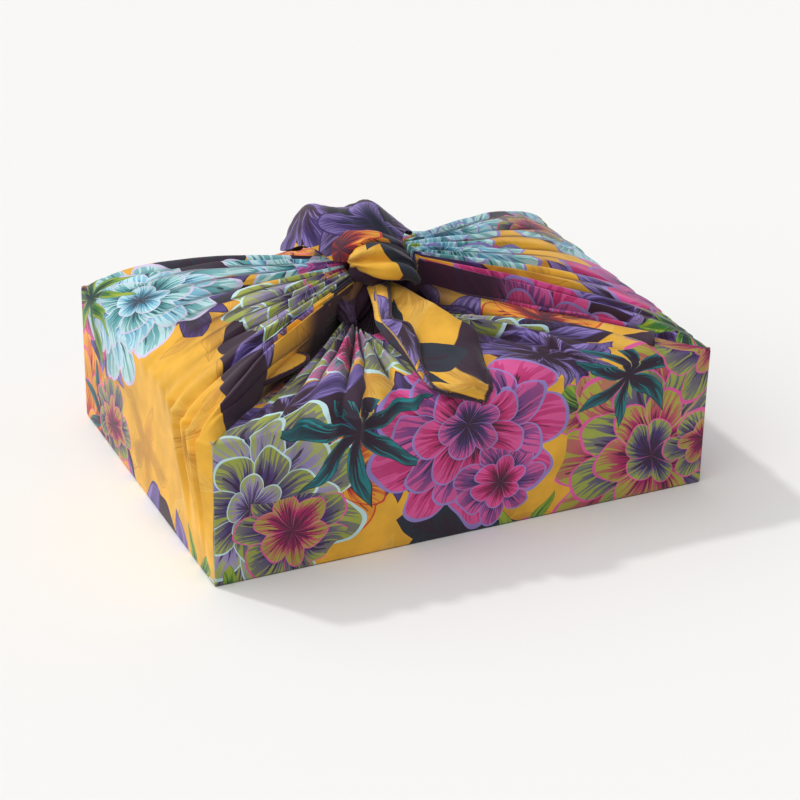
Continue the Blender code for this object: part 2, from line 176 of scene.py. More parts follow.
# start and foot: place along the brim and along the base, -1 to 1 from corner to corner. crown: rise
# in mm above the straight line from brim to tie. deep: depth in mm of the valley that follows.
# down: how far in mm the pleat runs down the wall. lean: where the valley lies between this crest, 0,
# and the next, 1. late: where on the way from brim to tie the valley starts
PLEATS = [
    Pleat("front", -0.88, -0.86, 2.0, 4.0, 20.0, 0.5, 0.0),
    Pleat("front", -0.74, -0.76, 5.0, 5.0, 22.0, 0.4, 0.1),
    Pleat("front", -0.60, -0.64, 8.5, 10.5, 30.0, 0.6, 0.0),
    Pleat("front", -0.47, -0.48, 8.5, 6.0, 26.0, 0.4, 0.1),
    Pleat("front", -0.37, -0.38, 9.5, 10.5, 28.0, 0.6, 0.0),
    Pleat("front", -0.24, -0.22, 8.0, 6.0, 20.0, 0.5, 0.1),
    Pleat("front", -0.13, -0.10, 7.5, 7.0, 14.0, 0.5, 0.0),
    Pleat("front", -0.02, 0.00, 4.0, 3.0, 8.0, 0.5, 0.0),
    Pleat("lap", 0.28, 0.30, 5.5, 3.5, 5.0, 0.5, 0.1),
    Pleat("lap", 0.43, 0.44, 4.5, 8.0, 4.0, 0.6, 0.0),
    Pleat("lap", 0.52, 0.52, 12.0, 10.0, 5.0, 0.4, 0.0),
    Pleat("lap", 0.61, 0.62, 5.5, 4.5, 4.0, 0.5, 0.0),
    Pleat("lap", 0.79, 0.80, 9.5, 8.0, 5.0, 0.5, 0.0),
    Pleat("lap", 0.97, 0.97, 5.0, 4.0, 4.0, 0.5, 0.0),
    Pleat("right", -0.97, -0.97, 4.5, 4.5, 4.0, 0.75, 0.0),
    Pleat("right", -0.86, -0.88, 7.0, 6.0, 6.0, 0.7, 0.0),
    Pleat("right", -0.70, -0.72, 8.5, 4.5, 6.0, 0.7, 0.1),
    Pleat("right", -0.50, -0.50, 9.5, 7.0, 10.0, 0.7, 0.0),
    Pleat("right", -0.28, -0.28, 9.5, 3.0, 5.0, 0.6, 0.35),
    Pleat("right", -0.08, -0.08, 10.0, 5.5, 8.0, 0.65, 0.1),
    Pleat("right", 0.14, 0.14, 10.0, 3.0, 4.0, 0.6, 0.4),
    Pleat("right", 0.36, 0.36, 11.0, 5.5, 10.0, 0.6, 0.1),
    Pleat("right", 0.62, 0.64, 10.5, 3.5, 6.0, 0.5, 0.3),
    Pleat("right", 0.93, 0.96, 9.5, 3.0, 30.0, 0.5, 0.0),
    Pleat("back", -0.74, -0.80, 2.0, 5.0, 20.0, 0.5, 0.0),
    Pleat("back", -0.58, -0.62, 3.5, 3.5, 10.0, 0.4, 0.3),
    Pleat("back", -0.44, -0.50, 5.0, 6.0, 24.0, 0.6, 0.0),
    Pleat("back", -0.18, -0.18, 5.5, 6.5, 26.0, 0.4, 0.0),
    Pleat("back", -0.04, -0.04, 4.0, 3.5, 12.0, 0.5, 0.3),
    Pleat("back", 0.10, 0.10, 5.5, 6.0, 26.0, 0.6, 0.0),
    Pleat("back", 0.36, 0.42, 4.5, 5.5, 20.0, 0.5, 0.0),
    Pleat("back", 0.60, 0.66, 3.0, 3.0, 8.0, 0.5, 0.3),
    Pleat("back", 0.80, 0.88, 2.0, 3.0, 16.0, 0.5, 0.0),
    Pleat("left", -0.95, -0.97, 13.0, 5.0, 8.0, 0.6, 0.0),
    Pleat("left", -0.78, -0.86, 12.5, 3.0, 24.0, 0.4, 0.3),
    Pleat("left", -0.56, -0.66, 12.0, 3.0, 6.0, 0.4, 0.4),
    Pleat("left", -0.34, -0.44, 11.5, 5.0, 12.0, 0.35, 0.15),
    Pleat("left", -0.14, -0.18, 10.0, 3.5, 6.0, 0.35, 0.45),
    Pleat("left", 0.04, 0.02, 9.0, 4.5, 8.0, 0.35, 0.3),
    Pleat("left", 0.18, 0.20, 7.5, 4.0, 6.0, 0.35, 0.4),
    Pleat("left", 0.32, 0.38, 6.5, 5.5, 8.0, 0.35, 0.15),
    Pleat("left", 0.47, 0.56, 5.5, 3.5, 20.0, 0.35, 0.45),
    Pleat("left", 0.61, 0.70, 7.0, 10.0, 70.0, 0.40, 0.0),
    Pleat("left", 0.74, 0.82, 7.0, 7.0, 64.0, 0.5, 0.2),
    Pleat("left", 0.85, 0.92, 10.0, 9.0, 76.0, 0.45, 0.0),
    Pleat("left", 0.98, 0.99, 12.0, 3.0, 76.0, 0.5, 0.0),
]

# Where the feet of a gutter end, first and second, if not half way between its two ears
GUTTER_ENDS = {
    ("lap", "right"): (Vector((0.0080, -0.0150, 0.0850)), Vector((0.0110, 0.0040, 0.0850))),
    ("left", "front"): (Vector((-0.0345, -0.0030, 0.0860)), Vector((-0.0400, -0.0180, 0.0850))),
}

# Small creases along each flank: place from crest to foot, width and depth as shares, and where
# on the way to the tie they start. They drift from flank to flank, waver along it and grow
CREASE_DRIFT = 0.12
CREASE_WAVER = 0.05
CREASE_GROWTH = 0.3
CREASES = [
    Crease(0.30, 0.07, 0.16, 0.35),
    Crease(0.62, 0.08, 0.22, 0.20),
]

# The bundle that rises from the front ear to the knot, in mm from the ground
BUNDLE = [
    Station(-32.0, -23.0, 89.0, 9.0, 6.0),
    Station(-32.0, -16.0, 93.0, 16.0, 9.0),
    Station(-28.0, -8.0, 96.5, 22.0, 12.0),
    Station(-20.0, 0.0, 100.0, 22.0, 14.0),
    Station(-13.0, 4.0, 104.0, 18.0, 14.0),
]

# Nets of the knot's bands and of the loose corners: rows along the cloth, each with the x, y and z
# in mm of its points across it
FRONT_BAND = [
    (-23, 0, 118, -25, -2, 118, -26, -3, 118, -26, -4, 117, -25, -4, 116, -25, -4, 115, -23, -2, 115),
    (-19, 0, 122, -22, -4, 123, -24, -8, 122, -23, -5, 118, -24, -10, 118, -23, -9, 115, -20, -6, 113),
    (-13, -1, 124, -17, -6, 126, -19, -11, 125, -18, -9, 120, -20, -15, 118, -19, -15, 114, -15, -10, 112),
    (-7, -2, 125, -11, -8, 128, -13, -14, 126, -12, -13, 120, -14, -20, 118, -13, -20, 112, -9, -15, 111),
    (0, -3, 124, -4, -10, 126, -6, -17, 126, -5, -16, 120, -7, -22, 118, -6, -22, 111, -3, -17, 110),
    (5, -5, 120,  2, -11, 123,  0, -18, 122,  2, -17, 118,  0, -23, 116,  0, -22, 110,  2, -17, 109),
    (9, -6, 116,  8, -10, 117,  7, -16, 117,  7, -15, 114,  6, -20, 112,  6, -20, 108,  6, -16, 107),
    (11, -3, 112,  10, -7, 113,  10, -12, 113,  10, -14, 111,  9, -15, 109,  9, -14, 106,  9, -10, 105),
]
OVER_BAND = [
    (-30, 9, 115,  -31, 5, 116,  -30, -1, 117,  -26, -3, 117,  -24, -2, 116),
    (-30, 13, 118,  -31, 8, 120,  -30, 0, 122,  -26, -4, 122,  -23, -3, 120),
    (-27, 16, 122,  -29, 11, 124,  -27, 2, 127,  -23, -4, 126,  -20, -3, 123),
    (-21, 19, 124,  -22, 15, 127,  -20, 5, 130,  -17, -5, 129,  -15, -4, 125),
    (-14, 19, 126,  -15, 14, 127,  -13, 4, 130,  -12, -5, 130,  -9, -5, 126),
    (-6, 16, 125,  -7, 12, 127,  -7, 2, 129,  -6, -6, 129,  -4, -6, 125),
    (1, 13, 124,  -1, 9, 125,  -1, 1, 126,  -1, -7, 126,  0, -6, 122),
    (6, 10, 121,  5, 6, 122,  5, 0, 123,  4, -6, 123,  5, -5, 120),
    (9, 7, 119,  9, 5, 119,  8, 1, 119,  7, -2, 118,  7, -3, 117),
]
SIDE_LOOP = [
    (-24, 21, 122,  -26, 16, 123,  -27, 11, 124),
    (-28, 23, 123,  -30, 19, 124,  -32, 13, 125),
    (-32, 24, 121,  -34, 19, 122,  -35, 14, 123),
    (-34, 22, 117,  -36, 17, 118,  -36, 12, 120),
    (-33, 17, 115,  -34, 13, 116,  -35, 9, 118),
    (-30, 13, 114,  -31, 8, 116,  -32, 6, 117),
]
FRONT_NET = [
    (-5, -9, 104, -10, -11, 105, -15, -4, 102, -12, -6, 101, -9, -7, 102, -4, -6, 104, -1, -5, 103),
    (-14, -33, 104, -19, -34, 105, -21, -26, 101, -15, -25, 99, -9, -27, 101, 0, -23, 104, 4, -23, 102),
    (-20, -48, 102, -24, -50, 103, -26, -42, 99, -17, -41, 97, -4, -38, 99, 6, -40, 102, 9, -40, 100),
    (-12, -51, 99, -20, -58, 100, -29, -60, 97, -20, -60, 94, -4, -53, 95, 12, -53, 99, 15, -55, 97),
    (-13, -62, 95, -21, -71, 97, -27, -72, 94, -20, -71, 91, -4, -67, 92, 17, -64, 96, 21, -61, 93),
    (-16, -72, 92, -23, -82, 94, -25, -82, 91, -20, -80, 89, -5, -79, 89, 14, -74, 92, 18, -74, 89),
    (-20, -85, 89,  -24, -91, 90,  -23, -93, 88,  -20, -93, 87,  -9, -94, 87,  7, -91, 89,  14, -89, 86),
    (-19, -99, 85, -20, -101, 86, -19, -101, 85, -15, -102, 85, -8, -104, 85, 1, -104, 85, 10, -103, 83),
    (2, -105, 77,  3, -106, 77,  3, -106, 77,  4, -106, 77,  5, -106, 77,  5, -106, 77,  6, -105, 77),
]
BACK_NET = [
    (-32, 3, 116,  -28, 3, 117,  -22, 3, 119,  -15, 3, 119,  -9, 3, 119,  -1, 3, 118,  5, 3, 115),
    (-38, 9, 121,  -32, 9, 126,  -24, 9, 129,  -15, 9, 129,  -8, 9, 129,  2, 9, 125,  11, 9, 119),
    (-44, 18, 121, -40, 18, 132, -32, 17, 138, -21, 19, 135, -11, 18, 136, 3, 18, 132, 18, 18, 120),
    (-47, 28, 115, -41, 28, 131, -32, 27, 139, -19, 30, 134, -10, 30, 133, 4, 28, 134, 26, 28, 113),
    (-46, 40, 110,  -39, 41, 126,  -31, 41, 133,  -19, 43, 129,  -9, 43, 128,  5, 42, 130,  24, 42, 110),
    (-34, 56, 102,  -29, 57, 115,  -23, 57, 120,  -14, 58, 117,  -5, 58, 116,  6, 58, 117,  20, 57, 101),
    (-20, 72, 95,  -17, 73, 103,  -12, 74, 106,  -6, 74, 104,  1, 74, 104,  8, 74, 104,  15, 73, 94),
    (-5, 88, 90,  -3, 89, 91,  -1, 89, 91,  0, 89, 91,  2, 89, 91,  4, 89, 91,  6, 89, 90),
]
RIGHT_NET = [
    (21, 13, 103,  16, 4, 104,  14, 1, 101,  13, -3, 98),
    (34, 1, 97,  27, -11, 99,  22, -20, 96,  20, -22, 90),
    (49, -11, 93,  43, -22, 95,  37, -32, 93,  37, -34, 88),
    (65, -34, 90,  59, -43, 92,  54, -52, 91,  53, -52, 87),
    (78, -51, 89,  74, -57, 90,  70, -64, 89,  68, -66, 86),
    (99, -70, 87,  95, -76, 89,  91, -81, 88,  90, -83, 85),
    (115, -85, 86,  112, -89, 87,  109, -95, 87,  108, -97, 85),
]
LEFT_NET = [
    (-73, -27, 88,  -91, -49, 88,  -107, -68, 86),
    (-72, -35, 89,  -86, -54, 89,  -98, -67, 88),
    (-70, -41, 89,  -78, -54, 90,  -85, -62, 89),
    (-66, -47, 89,  -67, -50, 89,  -69, -53, 89),
]

# The sheets laid through these nets. origin: where the sheet's root lies on the flat cloth, in metres.
# steps: faces along and across. hems: for each hemmed side edge, the share of the run at which its
# hem starts, and "end" for the last row. dark_root: the share of the run over which the cloth comes
# out of a hollow, with painted shade on it there. flap: how many steps from the left are folded over,
# and how far off on the flat cloth they lie. creased: depth in mm of the creases along it. wide and
# long: proportions of its flat cloth
KNOT_SHEETS = [
    Sheet("knot_side_loop", SIDE_LOOP, (-0.574, -0.080), (40, 16), {}, 0.0, None, 0.6, 0.020, 0.020),
    Sheet("knot_over_band", OVER_BAND, (-0.543, 0.002), (72, 40), {}, 0.0, None, 2.2, 0.046, 0.062),
    Sheet("knot_front_band", FRONT_BAND, (-0.4305, -0.190), (72, 56), {"right": 0.0}, 0.0, None, 3.0,
          0.045, 0.060),
]
CORNER_SHEETS = [
    Sheet("front_corner", FRONT_NET, (-0.446, -0.231), (110, 76), {"left": 0.0, "right": 0.74, "end": 1.0},
          0.0, (26, (0.080, 0.660)), 1.0, 1.0, 1.0),
    Sheet("back_corner", BACK_NET, (-0.277, -0.410), (96, 76), {"left": 0.55, "right": 0.55, "end": 1.0},
          0.0, None, 1.4, 1.0, 1.0),
    Sheet("right_corner", RIGHT_NET, (0.400, -0.318), (96, 28), {"end": 1.0}, 0.45, None, 0.6, 1.0, 1.0),
    Sheet("left_corner", LEFT_NET, (0.338, 0.550), (40, 32), {"left": 0.0, "right": 0.0, "end": 1.0},
          0.0, None, 0.6, 1.0, 1.0),
]

# Body, inner petals, deep strokes, light strokes and rim of each bloom, as names of colours. They go
# once round the cloth, from its left corner past the front one
BLOOM_PALETTE = [
    ("teal", "sky", "slate", "pale", "mist"),
    ("magenta", "teal", "aubergine", "pink", "pale"),
    ("violet", "lilac", "aubergine", "lime", "pale"),
    ("magenta", "violet", "aubergine", "pink", "lilac"),
    ("magenta", "violet", "aubergine", "lime", "pink"),
    ("teal", "sky", "slate", "pale", "lilac"),
    ("sky", "teal", "slate", "pale", "pale"),
    ("red", "orange", "aubergine", "mustard", "pink"),
]
PETAL_PALETTE = [
    ("magenta", "aubergine", "aubergine", "pink", "pink"),
    ("violet", "aubergine", "aubergine", "lilac", "lilac"),
    ("aubergine", "violet", "slate", "lilac", "violet"),
    ("teal", "sky", "slate", "pale", "sky"),
    ("green", "magenta", "aubergine", "lime", "pink"),
    ("orange", "red", "aubergine", "mustard", "red"),
]
LEAF_PALETTE = [
    ("slate", "slate", "aubergine", "slate", "slate"),
    ("aubergine", "violet", "slate", "violet", "aubergine"),
    ("violet", "aubergine", "aubergine", "lilac", "violet"),
]
SPRAY_PALETTE = [
    ("green", "lime", "slate", "lime", "green"),
    ("slate", "teal", "aubergine", "teal", "slate"),
]
GROUND_PALETTE = [
    ("ochre", "mustard", "ochre", "mustard", "ochre"),
    ("honey", "mustard", "ochre", "mustard", "honey"),
]

# The print, from the ground up. size: spacing of its figures in metres. jitter: how far they stray
# from even rows. share: how many of the places hold one. swell: their reach in spacings. sector: how
# firmly the palette follows the way round the cloth. far: how far from the cloth's middle it goes.
# quiet: how much of the quiet field it keeps out of
LAYERS = [
    Layer("Ground leaves", 0.070, (0.013, 0.041), 0.8, 0.9, 0.62, 0.0, 9.0, 0.0, GROUND_PALETTE,
          [Ring(5.0, 0.2, 1.0, 0.75, 0.8, 0.0)]),
    Layer("Dark leaves", 0.092, (0.047, 0.022), 0.7, 0.80, 0.66, 0.0, 9.0, 0.8, LEAF_PALETTE,
          [Ring(5.0, 0.1, 1.0, 0.80, 0.9, 0.0), Ring(5.0, 0.6, 0.62, 0.80, 0.9, 1.0)]),
    Layer("Loose petals", 0.078, (0.021, 0.009), 0.9, 0.34, 0.60, 0.0, 9.0, 1.0, PETAL_PALETTE,
          [Ring(4.0, 0.0, 1.0, 0.62, 1.5, 0.0), Ring(4.0, 0.45, 0.66, 0.60, 1.5, 1.0)]),
    Layer("Large blooms", 0.112, (0.031, 0.064), 0.45, 1.0, 0.60, 1.0, 0.36, 1.0, BLOOM_PALETTE,
          [Ring(9.0, 0.0, 1.00, 0.26, 2.6, 0.0), Ring(9.0, 0.5, 0.78, 0.26, 2.6, 1.0),
           Ring(7.0, 0.2, 0.55, 0.28, 2.4, 0.0), Ring(5.0, 0.6, 0.30, 0.30, 2.2, 1.0)]),
    Layer("Green sprays", 0.083, (0.009, 0.017), 0.9, 0.32, 0.55, 0.0, 0.42, 1.0, SPRAY_PALETTE,
          [Ring(7.0, 0.0, 1.0, 0.88, 0.8, 0.0)]),
    Layer("Small blooms", 0.060, (0.052, 0.011), 0.6, 0.24, 0.55, 0.0, 0.36, 1.0, BLOOM_PALETTE[1:5],
          [Ring(7.0, 0.0, 1.0, 0.30, 2.4, 1.0), Ring(6.0, 0.4, 0.62, 0.30, 2.2, 0.0)]),
]

# Middle and radius of a quiet field on the flat cloth, where the bare ground shows
QUIET_PLACE = (-0.200, -0.035, 0.0)
QUIET_RADIUS = 0.085

# Reach of the smallest figure of a layer, and how much chance adds to it. STROKES_AROUND and
# STROKES_OUT: brush strokes once round a figure, and out from its middle. SECTOR_HOLD: how firmly a
# palette that follows the way round the cloth is kept to
SMALLEST_FIGURE = 0.75
FIGURE_GROWTH = 0.3
STROKES_AROUND = 130.0
STROKES_OUT = 1.6
SECTOR_HOLD = 0.75

# How the drawing wavers, where the dark patches lie, and how uneven the printed colour is. Scales are
# per metre
BEND_SCALE = 26.0
BEND_REACH = 0.016
PATCH_SCALE = 10.0
PATCH_START = 0.545
CLOUD_SCALE = 45.0
CLOUD_TONES = (0.80, 1.08)

# The camera, as solved from the form's visible corners
CAMERA_TARGET = Vector((-0.0082, -0.0337, 0.0467))
CAMERA_AZIMUTH = -25.381
CAMERA_ELEVATION = 26.5012
CAMERA_ROLL = 1.1817
CAMERA_DISTANCE = 1.2146
CAMERA_LENS = 102.79

# Width of the floor, and strength of the room's own light
FLOOR_SIZE = 12.0
ROOM_LIGHT = 0.42

# Name, strength, angle across and where it comes from. The first one casts the shadow, whose edges
# on the floor give its direction
LAMPS = [
    ("WindowLight", 0.88, 4.0, (-0.399, 0.538, 0.742)),
    ("SoftBox", 1.70, 100.0, (-0.60, 0.15, 0.78)),
]


def linear(code):
    """An sRGB hex colour as linear red, green and blue."""
    parts = [int(code[at:at + 2], 16) / 255 for at in (1, 3, 5)]
    return [part / 12.92 if part <= 0.04045 else ((part + 0.055) / 1.055) ** 2.4 for part in parts]


def colour(name, description, code):
    return FloatVectorProperty(name=name, description=description, subtype="COLOR", size=3,
                               min=0.0, max=1.0, default=linear(code))


class FUROSHIKI_PG_sizes(bpy.types.PropertyGroup):
    """Sizes of the wrapped form and of its cloth."""

    length: FloatProperty(name="Length", description="Long side of the wrapped form",
                          default=0.280, unit="LENGTH")
    depth: FloatProperty(name="Depth", description="Short side of the wrapped form",
                         default=0.2044, unit="LENGTH")
    height: FloatProperty(name="Height", description="Height of the wrapped form's walls",
                          default=0.0798, unit="LENGTH")
    cloth: FloatProperty(name="Cloth", description="Thickness of the cotton",
                         default=0.0005, unit="LENGTH")
    hem: FloatProperty(name="Hem", description="Width of the rolled hem",
                       default=0.0030, unit="LENGTH")
    weave: FloatProperty(name="Weave", description="Spacing of the weave as it is drawn",
                         default=0.0009, unit="LENGTH")


class FUROSHIKI_PG_colours(bpy.types.PropertyGroup):
    """Colours of the print."""

    mustard: colour("Mustard", "Ground of the print", "#EAAF33")
    ochre: colour("Ochre", "Tone of the leaves in the ground", "#CF9430")
    honey: colour("Honey", "Lighter leaves in the ground", "#EDBB52")
    aubergine: colour("Aubergine", "Hem and darkest petals", "#33192F")
    violet: colour("Violet", "Petals", "#4E3A7E")
    lilac: colour("Lilac", "Strokes on petals", "#9784C9")
    mist: colour("Mist", "Fine rims of petals", "#D2C6E4")
    pale: colour("Pale cyan", "Pale rims of petals", "#C4E4E6")
    sky: colour("Sky", "Petals", "#52A6C8")
    teal: colour("Teal", "Petals", "#1F8B92")
    magenta: colour("Magenta", "Petals", "#BE1F68")
    pink: colour("Pink", "Strokes on petals", "#E25C9F")
    red: colour("Red", "Petals", "#D23A2B")
    orange: colour("Orange", "Petals", "#E97F22")
    lime: colour("Lime", "Strokes on leaves", "#A8B436")
    green: colour("Green", "Leaves", "#3E8436")
    slate: colour("Slate", "Dark leaves and strokes", "#242C3A")


def smooth_step(value):
    value = min(max(value, 0.0), 1.0)
    return value * value * (3.0 - 2.0 * value)


def mix(low, high, share):
    return low * (1.0 - share) + high * share


def spline(points, place):
    """The point at a place, 0 to 1, on a smooth curve through evenly placed points."""
    last = len(points) - 1
    place = min(max(place, 0.0), 1.0) * last
    index = min(int(place), last - 1)
    share = place - index
    one, two = points[index], points[index + 1]
    before = points[index - 1] if index else one * 2 - two
    after = points[index + 2] if index + 2 <= last else two * 2 - one
    bend = (before * 2 - one * 5 + two * 4 - after) * share ** 2
    twist = (one * 3 - before - two * 3 + after) * share ** 3
    return (one * 2 + (two - before) * share + bend + twist) / 2


def wander(*seeds):
    """A smooth number between about -1 and 1 that is the same each run."""
    return noise.noise(Vector((seeds + (0.37, 0.71, 0.13))[:3]))


def sides_of(sizes):
    """The four sides, anticlockwise from above, each running from its first corner to its second."""
    long_half, short_half = sizes.length / 2, sizes.depth / 2
    return {
        "front": Side(Vector((0, -1, 0)), Vector((1, 0, 0)), long_half, short_half),
        "right": Side(Vector((1, 0, 0)), Vector((0, 1, 0)), short_half, long_half),
        "back": Side(Vector((0, 1, 0)), Vector((-1, 0, 0)), long_half, short_half),
        "left": Side(Vector((-1, 0, 0)), Vector((0, -1, 0)), short_half, long_half),
    }


class Rib:
    """One line of the skin, from the base to the tie: a pleat's crest or the foot of its flank."""

    def __init__(self, sizes, side, base, brim, tie, crown=0.0, drop=0.0, down=0.0, seed=0.0, late=0.0):
        self.sizes = sizes
        self.side = side
        self.base = base
        self.brim = brim
        self.tie = tie
        self.crown = crown
        self.drop = drop
        self.down = down
        self.seed = seed
        self.late = late
        self.place = brim.dot(side.along)
        # A crest stands proud of the wall and a valley lies behind it, more where the fold runs far down
        self.proud = -VALLEY_INSET * drop if drop else SWELL * (1.0 + down / LONG_FOLD)
        self.proud *= min(down / SHORT_FOLD, 1.0)

    def wall(self, height, inset):
        """The point on the wall at a height, where a pleat swells out below its brim."""
        top = self.sizes.height
        point = mix(self.base, self.brim, height / top)
        swell = smooth_step((height - top + self.down) / self.down) if self.down else 0.0
        point -= self.side.outward * (inset - self.proud * swell)
        point.z = height
        return point

    def fan(self, reach):
        """The point at a share of the way from the brim, 0, to the tie, 1."""
        top = self.sizes.height
        swell = self.proud * (1.0 - smooth_step(reach / SWELL_FADE)) if self.down else 0.0
        point = mix(self.brim - self.side.outward * BRIM_RADIUS, self.tie, reach)
        point += self.side.outward * swell
        stray = math.sin(math.pi * reach) * STRAY
        point += self.side.along * stray * wander(self.seed, reach * 3.0)
        grown = smooth_step(reach / PLEAT_LENGTH)
        sunk = smooth_step((reach - self.late) / PLEAT_LENGTH)
        rise = math.sin(math.pi * reach ** CROWN_SHIFT) * self.crown
        rise += stray * RIPPLE * wander(self.seed, reach * 4.0, 5.0)
        height = mix(top, self.tie.z, reach) + rise - sunk * self.drop
        point.z = max(height, top + LID_CLEARANCE * grown)
        return point


def crest_of(sizes, pleat, share, seed):
    """The crest of a pleat that ends at this share, -1 to 1, of its ear's bunch."""
    ear = EARS[pleat.ear]
    side = sides_of(sizes)[ear.side]
    half = side.half - CORNER_ROOM
    base = side.outward * side.reach + side.along * pleat.foot * half
    brim = side.outward * side.reach + side.along * pleat.start * half
    tie = ear.tie + ear.spread * share
    return Rib(sizes, side, base, brim, tie, pleat.crown * MM, 0.0, pleat.down * MM, seed)


def valley_between(first, second, pleat):
    """The floor of the valley between two crests of one side."""
    base, brim = mix(first.base, second.base, pleat.lean), mix(first.brim, second.brim, pleat.lean)
    crown = mix(first.crown, second.crown, pleat.lean)
    tie = mix(first.tie, second.tie, pleat.lean)
    seed = first.seed + 0.5
    down = min(first.down, second.down)
    return Rib(first.sizes, first.side, base, brim, tie, crown, pleat.deep * MM, down, seed, pleat.late)


def gutter_between(first, second, pleat, ends):
    """The two feet of the gutter that runs from a corner to the ties, one for each side."""
    corner = first.side.outward * first.side.reach + second.side.outward * second.side.reach
    middle = (first.tie + second.tie) / 2
    middle.z = min(first.tie.z, second.tie.z)
    apart = second.tie - first.tie
    apart.z = 0.0
    half = apart.normalized() * min(GUTTER, apart.length / 4)
    feet = []
    for crest, tie in zip((first, second), ends or (middle - half, middle + half)):
        back = (crest.brim - corner).normalized()
        foot = corner + back * CORNER_CUT
        rib = Rib(first.sizes, crest.side, foot, foot, tie, 0.0, pleat.deep * MM, 0.0, crest.seed + 0.5)
        feet.append(rib)
    return feet


class Column:
    """A line between a crest and the foot of its flank, share 0 to 1."""

    def __init__(self, crest, foot, share, bulge):
        self.crest = crest
        self.foot = foot
        self.share = share
        way = 1 if foot.place > crest.place else -1
        self.beside_gutter = bulge > 0.0
        self.ease = 0.0 if self.beside_gutter else smooth_step(share) - share
        self.outward = crest.side.along * way * bulge * math.sin(math.pi * share)

    def wall(self, height, inset):
        crest, foot = self.crest.wall(height, inset), self.foot.wall(height, inset)
        return self.rounded(crest, foot)

    def rounded(self, crest, foot):
        """The place between crest and foot, along a round wave as seen from above."""
        swing = (foot - crest).dot(self.crest.side.outward)
        return mix(crest, foot, self.share) + self.crest.side.outward * swing * self.ease

    def fan(self, reach):
        crest, foot = self.crest.fan(reach), self.foot.fan(reach)
        point = self.rounded(crest, foot)
        roundness = mix(BROAD_PLEAT, TIGHT_PLEAT, reach)
        level = 1.0 - self.share ** roundness
        if self.beside_gutter:
            level = mix(level, gutter_level(self.share), smooth_step(reach / 0.2))
        point.z = mix(foot.z, crest.z, level)
        fall = abs(crest.z - foot.z)
        point += self.outward * fall
        for crease in CREASES:
            place = crease.place + CREASE_DRIFT * wander(self.crest.seed, self.foot.seed, crease.place * 9)
            place += CREASE_WAVER * wander(self.foot.seed, reach * 5)
            near = (self.share - place) / crease.width
            grown = smooth_step((reach - crease.start) / CREASE_GROWTH)
            point.z -= crease.depth * fall * grown * math.exp(-near * near)
        return point


def gutter_level(share):
    """How high a flank beside a gutter stands: a rope, a lower second rope and then the hollow."""
    rope = 1.0 - smooth_step((share - ROPE_FALL[0]) / ROPE_FALL[1])
    second = 1.0 - smooth_step((share - SECOND_FALL[0]) / SECOND_FALL[1])
    crown = math.exp(-((share - SECOND_CROWN[0]) / SECOND_CROWN[1]) ** 2)
    return 0.5 * rope + 0.5 * second + SECOND_CROWN[2] * crown


def gutter_painted_shade(share, near_knot, at_knot):
    """How much painted shade a flank beside a gutter gets: in the crease between its ropes and down in the
    hollow.
    """
    crease = CREASE_SHADE[2] * math.exp(-((share - CREASE_SHADE[0]) / CREASE_SHADE[1]) ** 2)
    hollow = smooth_step((share - HOLLOW_SHADE[0]) / HOLLOW_SHADE[1])
    whole = smooth_step((share - WHOLE_SHADE[0]) / WHOLE_SHADE[1])
    return max(near_knot * crease, near_knot * hollow, at_knot * whole)


def valley_painted_shade(share, reach):
    """How much painted shade the foot of a flank between two pleats gets: more towards the tie, where it is
    tight.
    """
    along = smooth_step((reach - VALLEY_REACH[0]) / VALLEY_REACH[1])
    return VALLEY_SHADE * along * smooth_step((share - VALLEY_SHADE_SPAN[0]) / VALLEY_SHADE_SPAN[1])


def flank_shares(beside_gutter):
    """Places from crest to foot: even beside a gutter, and closer together at the foot of a valley."""
    if beside_gutter:
        return [step / GUTTER_STEPS for step in range(GUTTER_STEPS + 1)]
    return [1.0 - (1.0 - step / FLANK_STEPS) ** 1.25 for step in range(FLANK_STEPS + 1)]


def flanks_of_the_skin(sizes):
    """Each flank once round the form: its crest, its foot, its direction, its bulge and its dark start."""
    crests = []
    for name in EARS:
        pleats = [pleat for pleat in PLEATS if pleat.ear == name]
        last = max(len(pleats) - 1, 1)
        for index, pleat in enumerate(pleats):
            seed = 7.3 * len(crests) + 1.7
            crests.append((pleat, crest_of(sizes, pleat, 2 * index / last - 1, seed)))
    for index, (pleat, crest) in enumerate(crests):
        other_pleat, other = crests[(index + 1) % len(crests)]
        if EARS[pleat.ear].side == EARS[other_pleat.ear].side:
            feet = [valley_between(crest, other, pleat)] * 2
            bulge = 0.0
        else:
            feet = gutter_between(crest, other, pleat, GUTTER_ENDS.get((pleat.ear, other_pleat.ear)))
            bulge = BULGE
        yield crest, feet[0], 1, bulge, DEEP_START[pleat.ear]
        yield other, feet[1], -1, bulge, DEEP_START[other_pleat.ear]


def wall_rows(sizes):
    """Inset and height of each ring below the fans, from the base to the brim."""
    for step in range(4):
        angle = math.pi / 2 * step / 3
        yield FOOT_RADIUS * (1 - math.sin(angle)), FOOT_RADIUS * (1 - math.cos(angle))
    low, high = FOOT_RADIUS, sizes.height - BRIM_RADIUS
    for step in range(1, WALL_STEPS + 1):
        yield 0.0, mix(low, high, step / WALL_STEPS)
    for step in range(1, 3):
        angle = math.pi / 2 * step / 3
        yield BRIM_RADIUS * (1 - math.cos(angle)), high + BRIM_RADIUS * math.sin(angle)


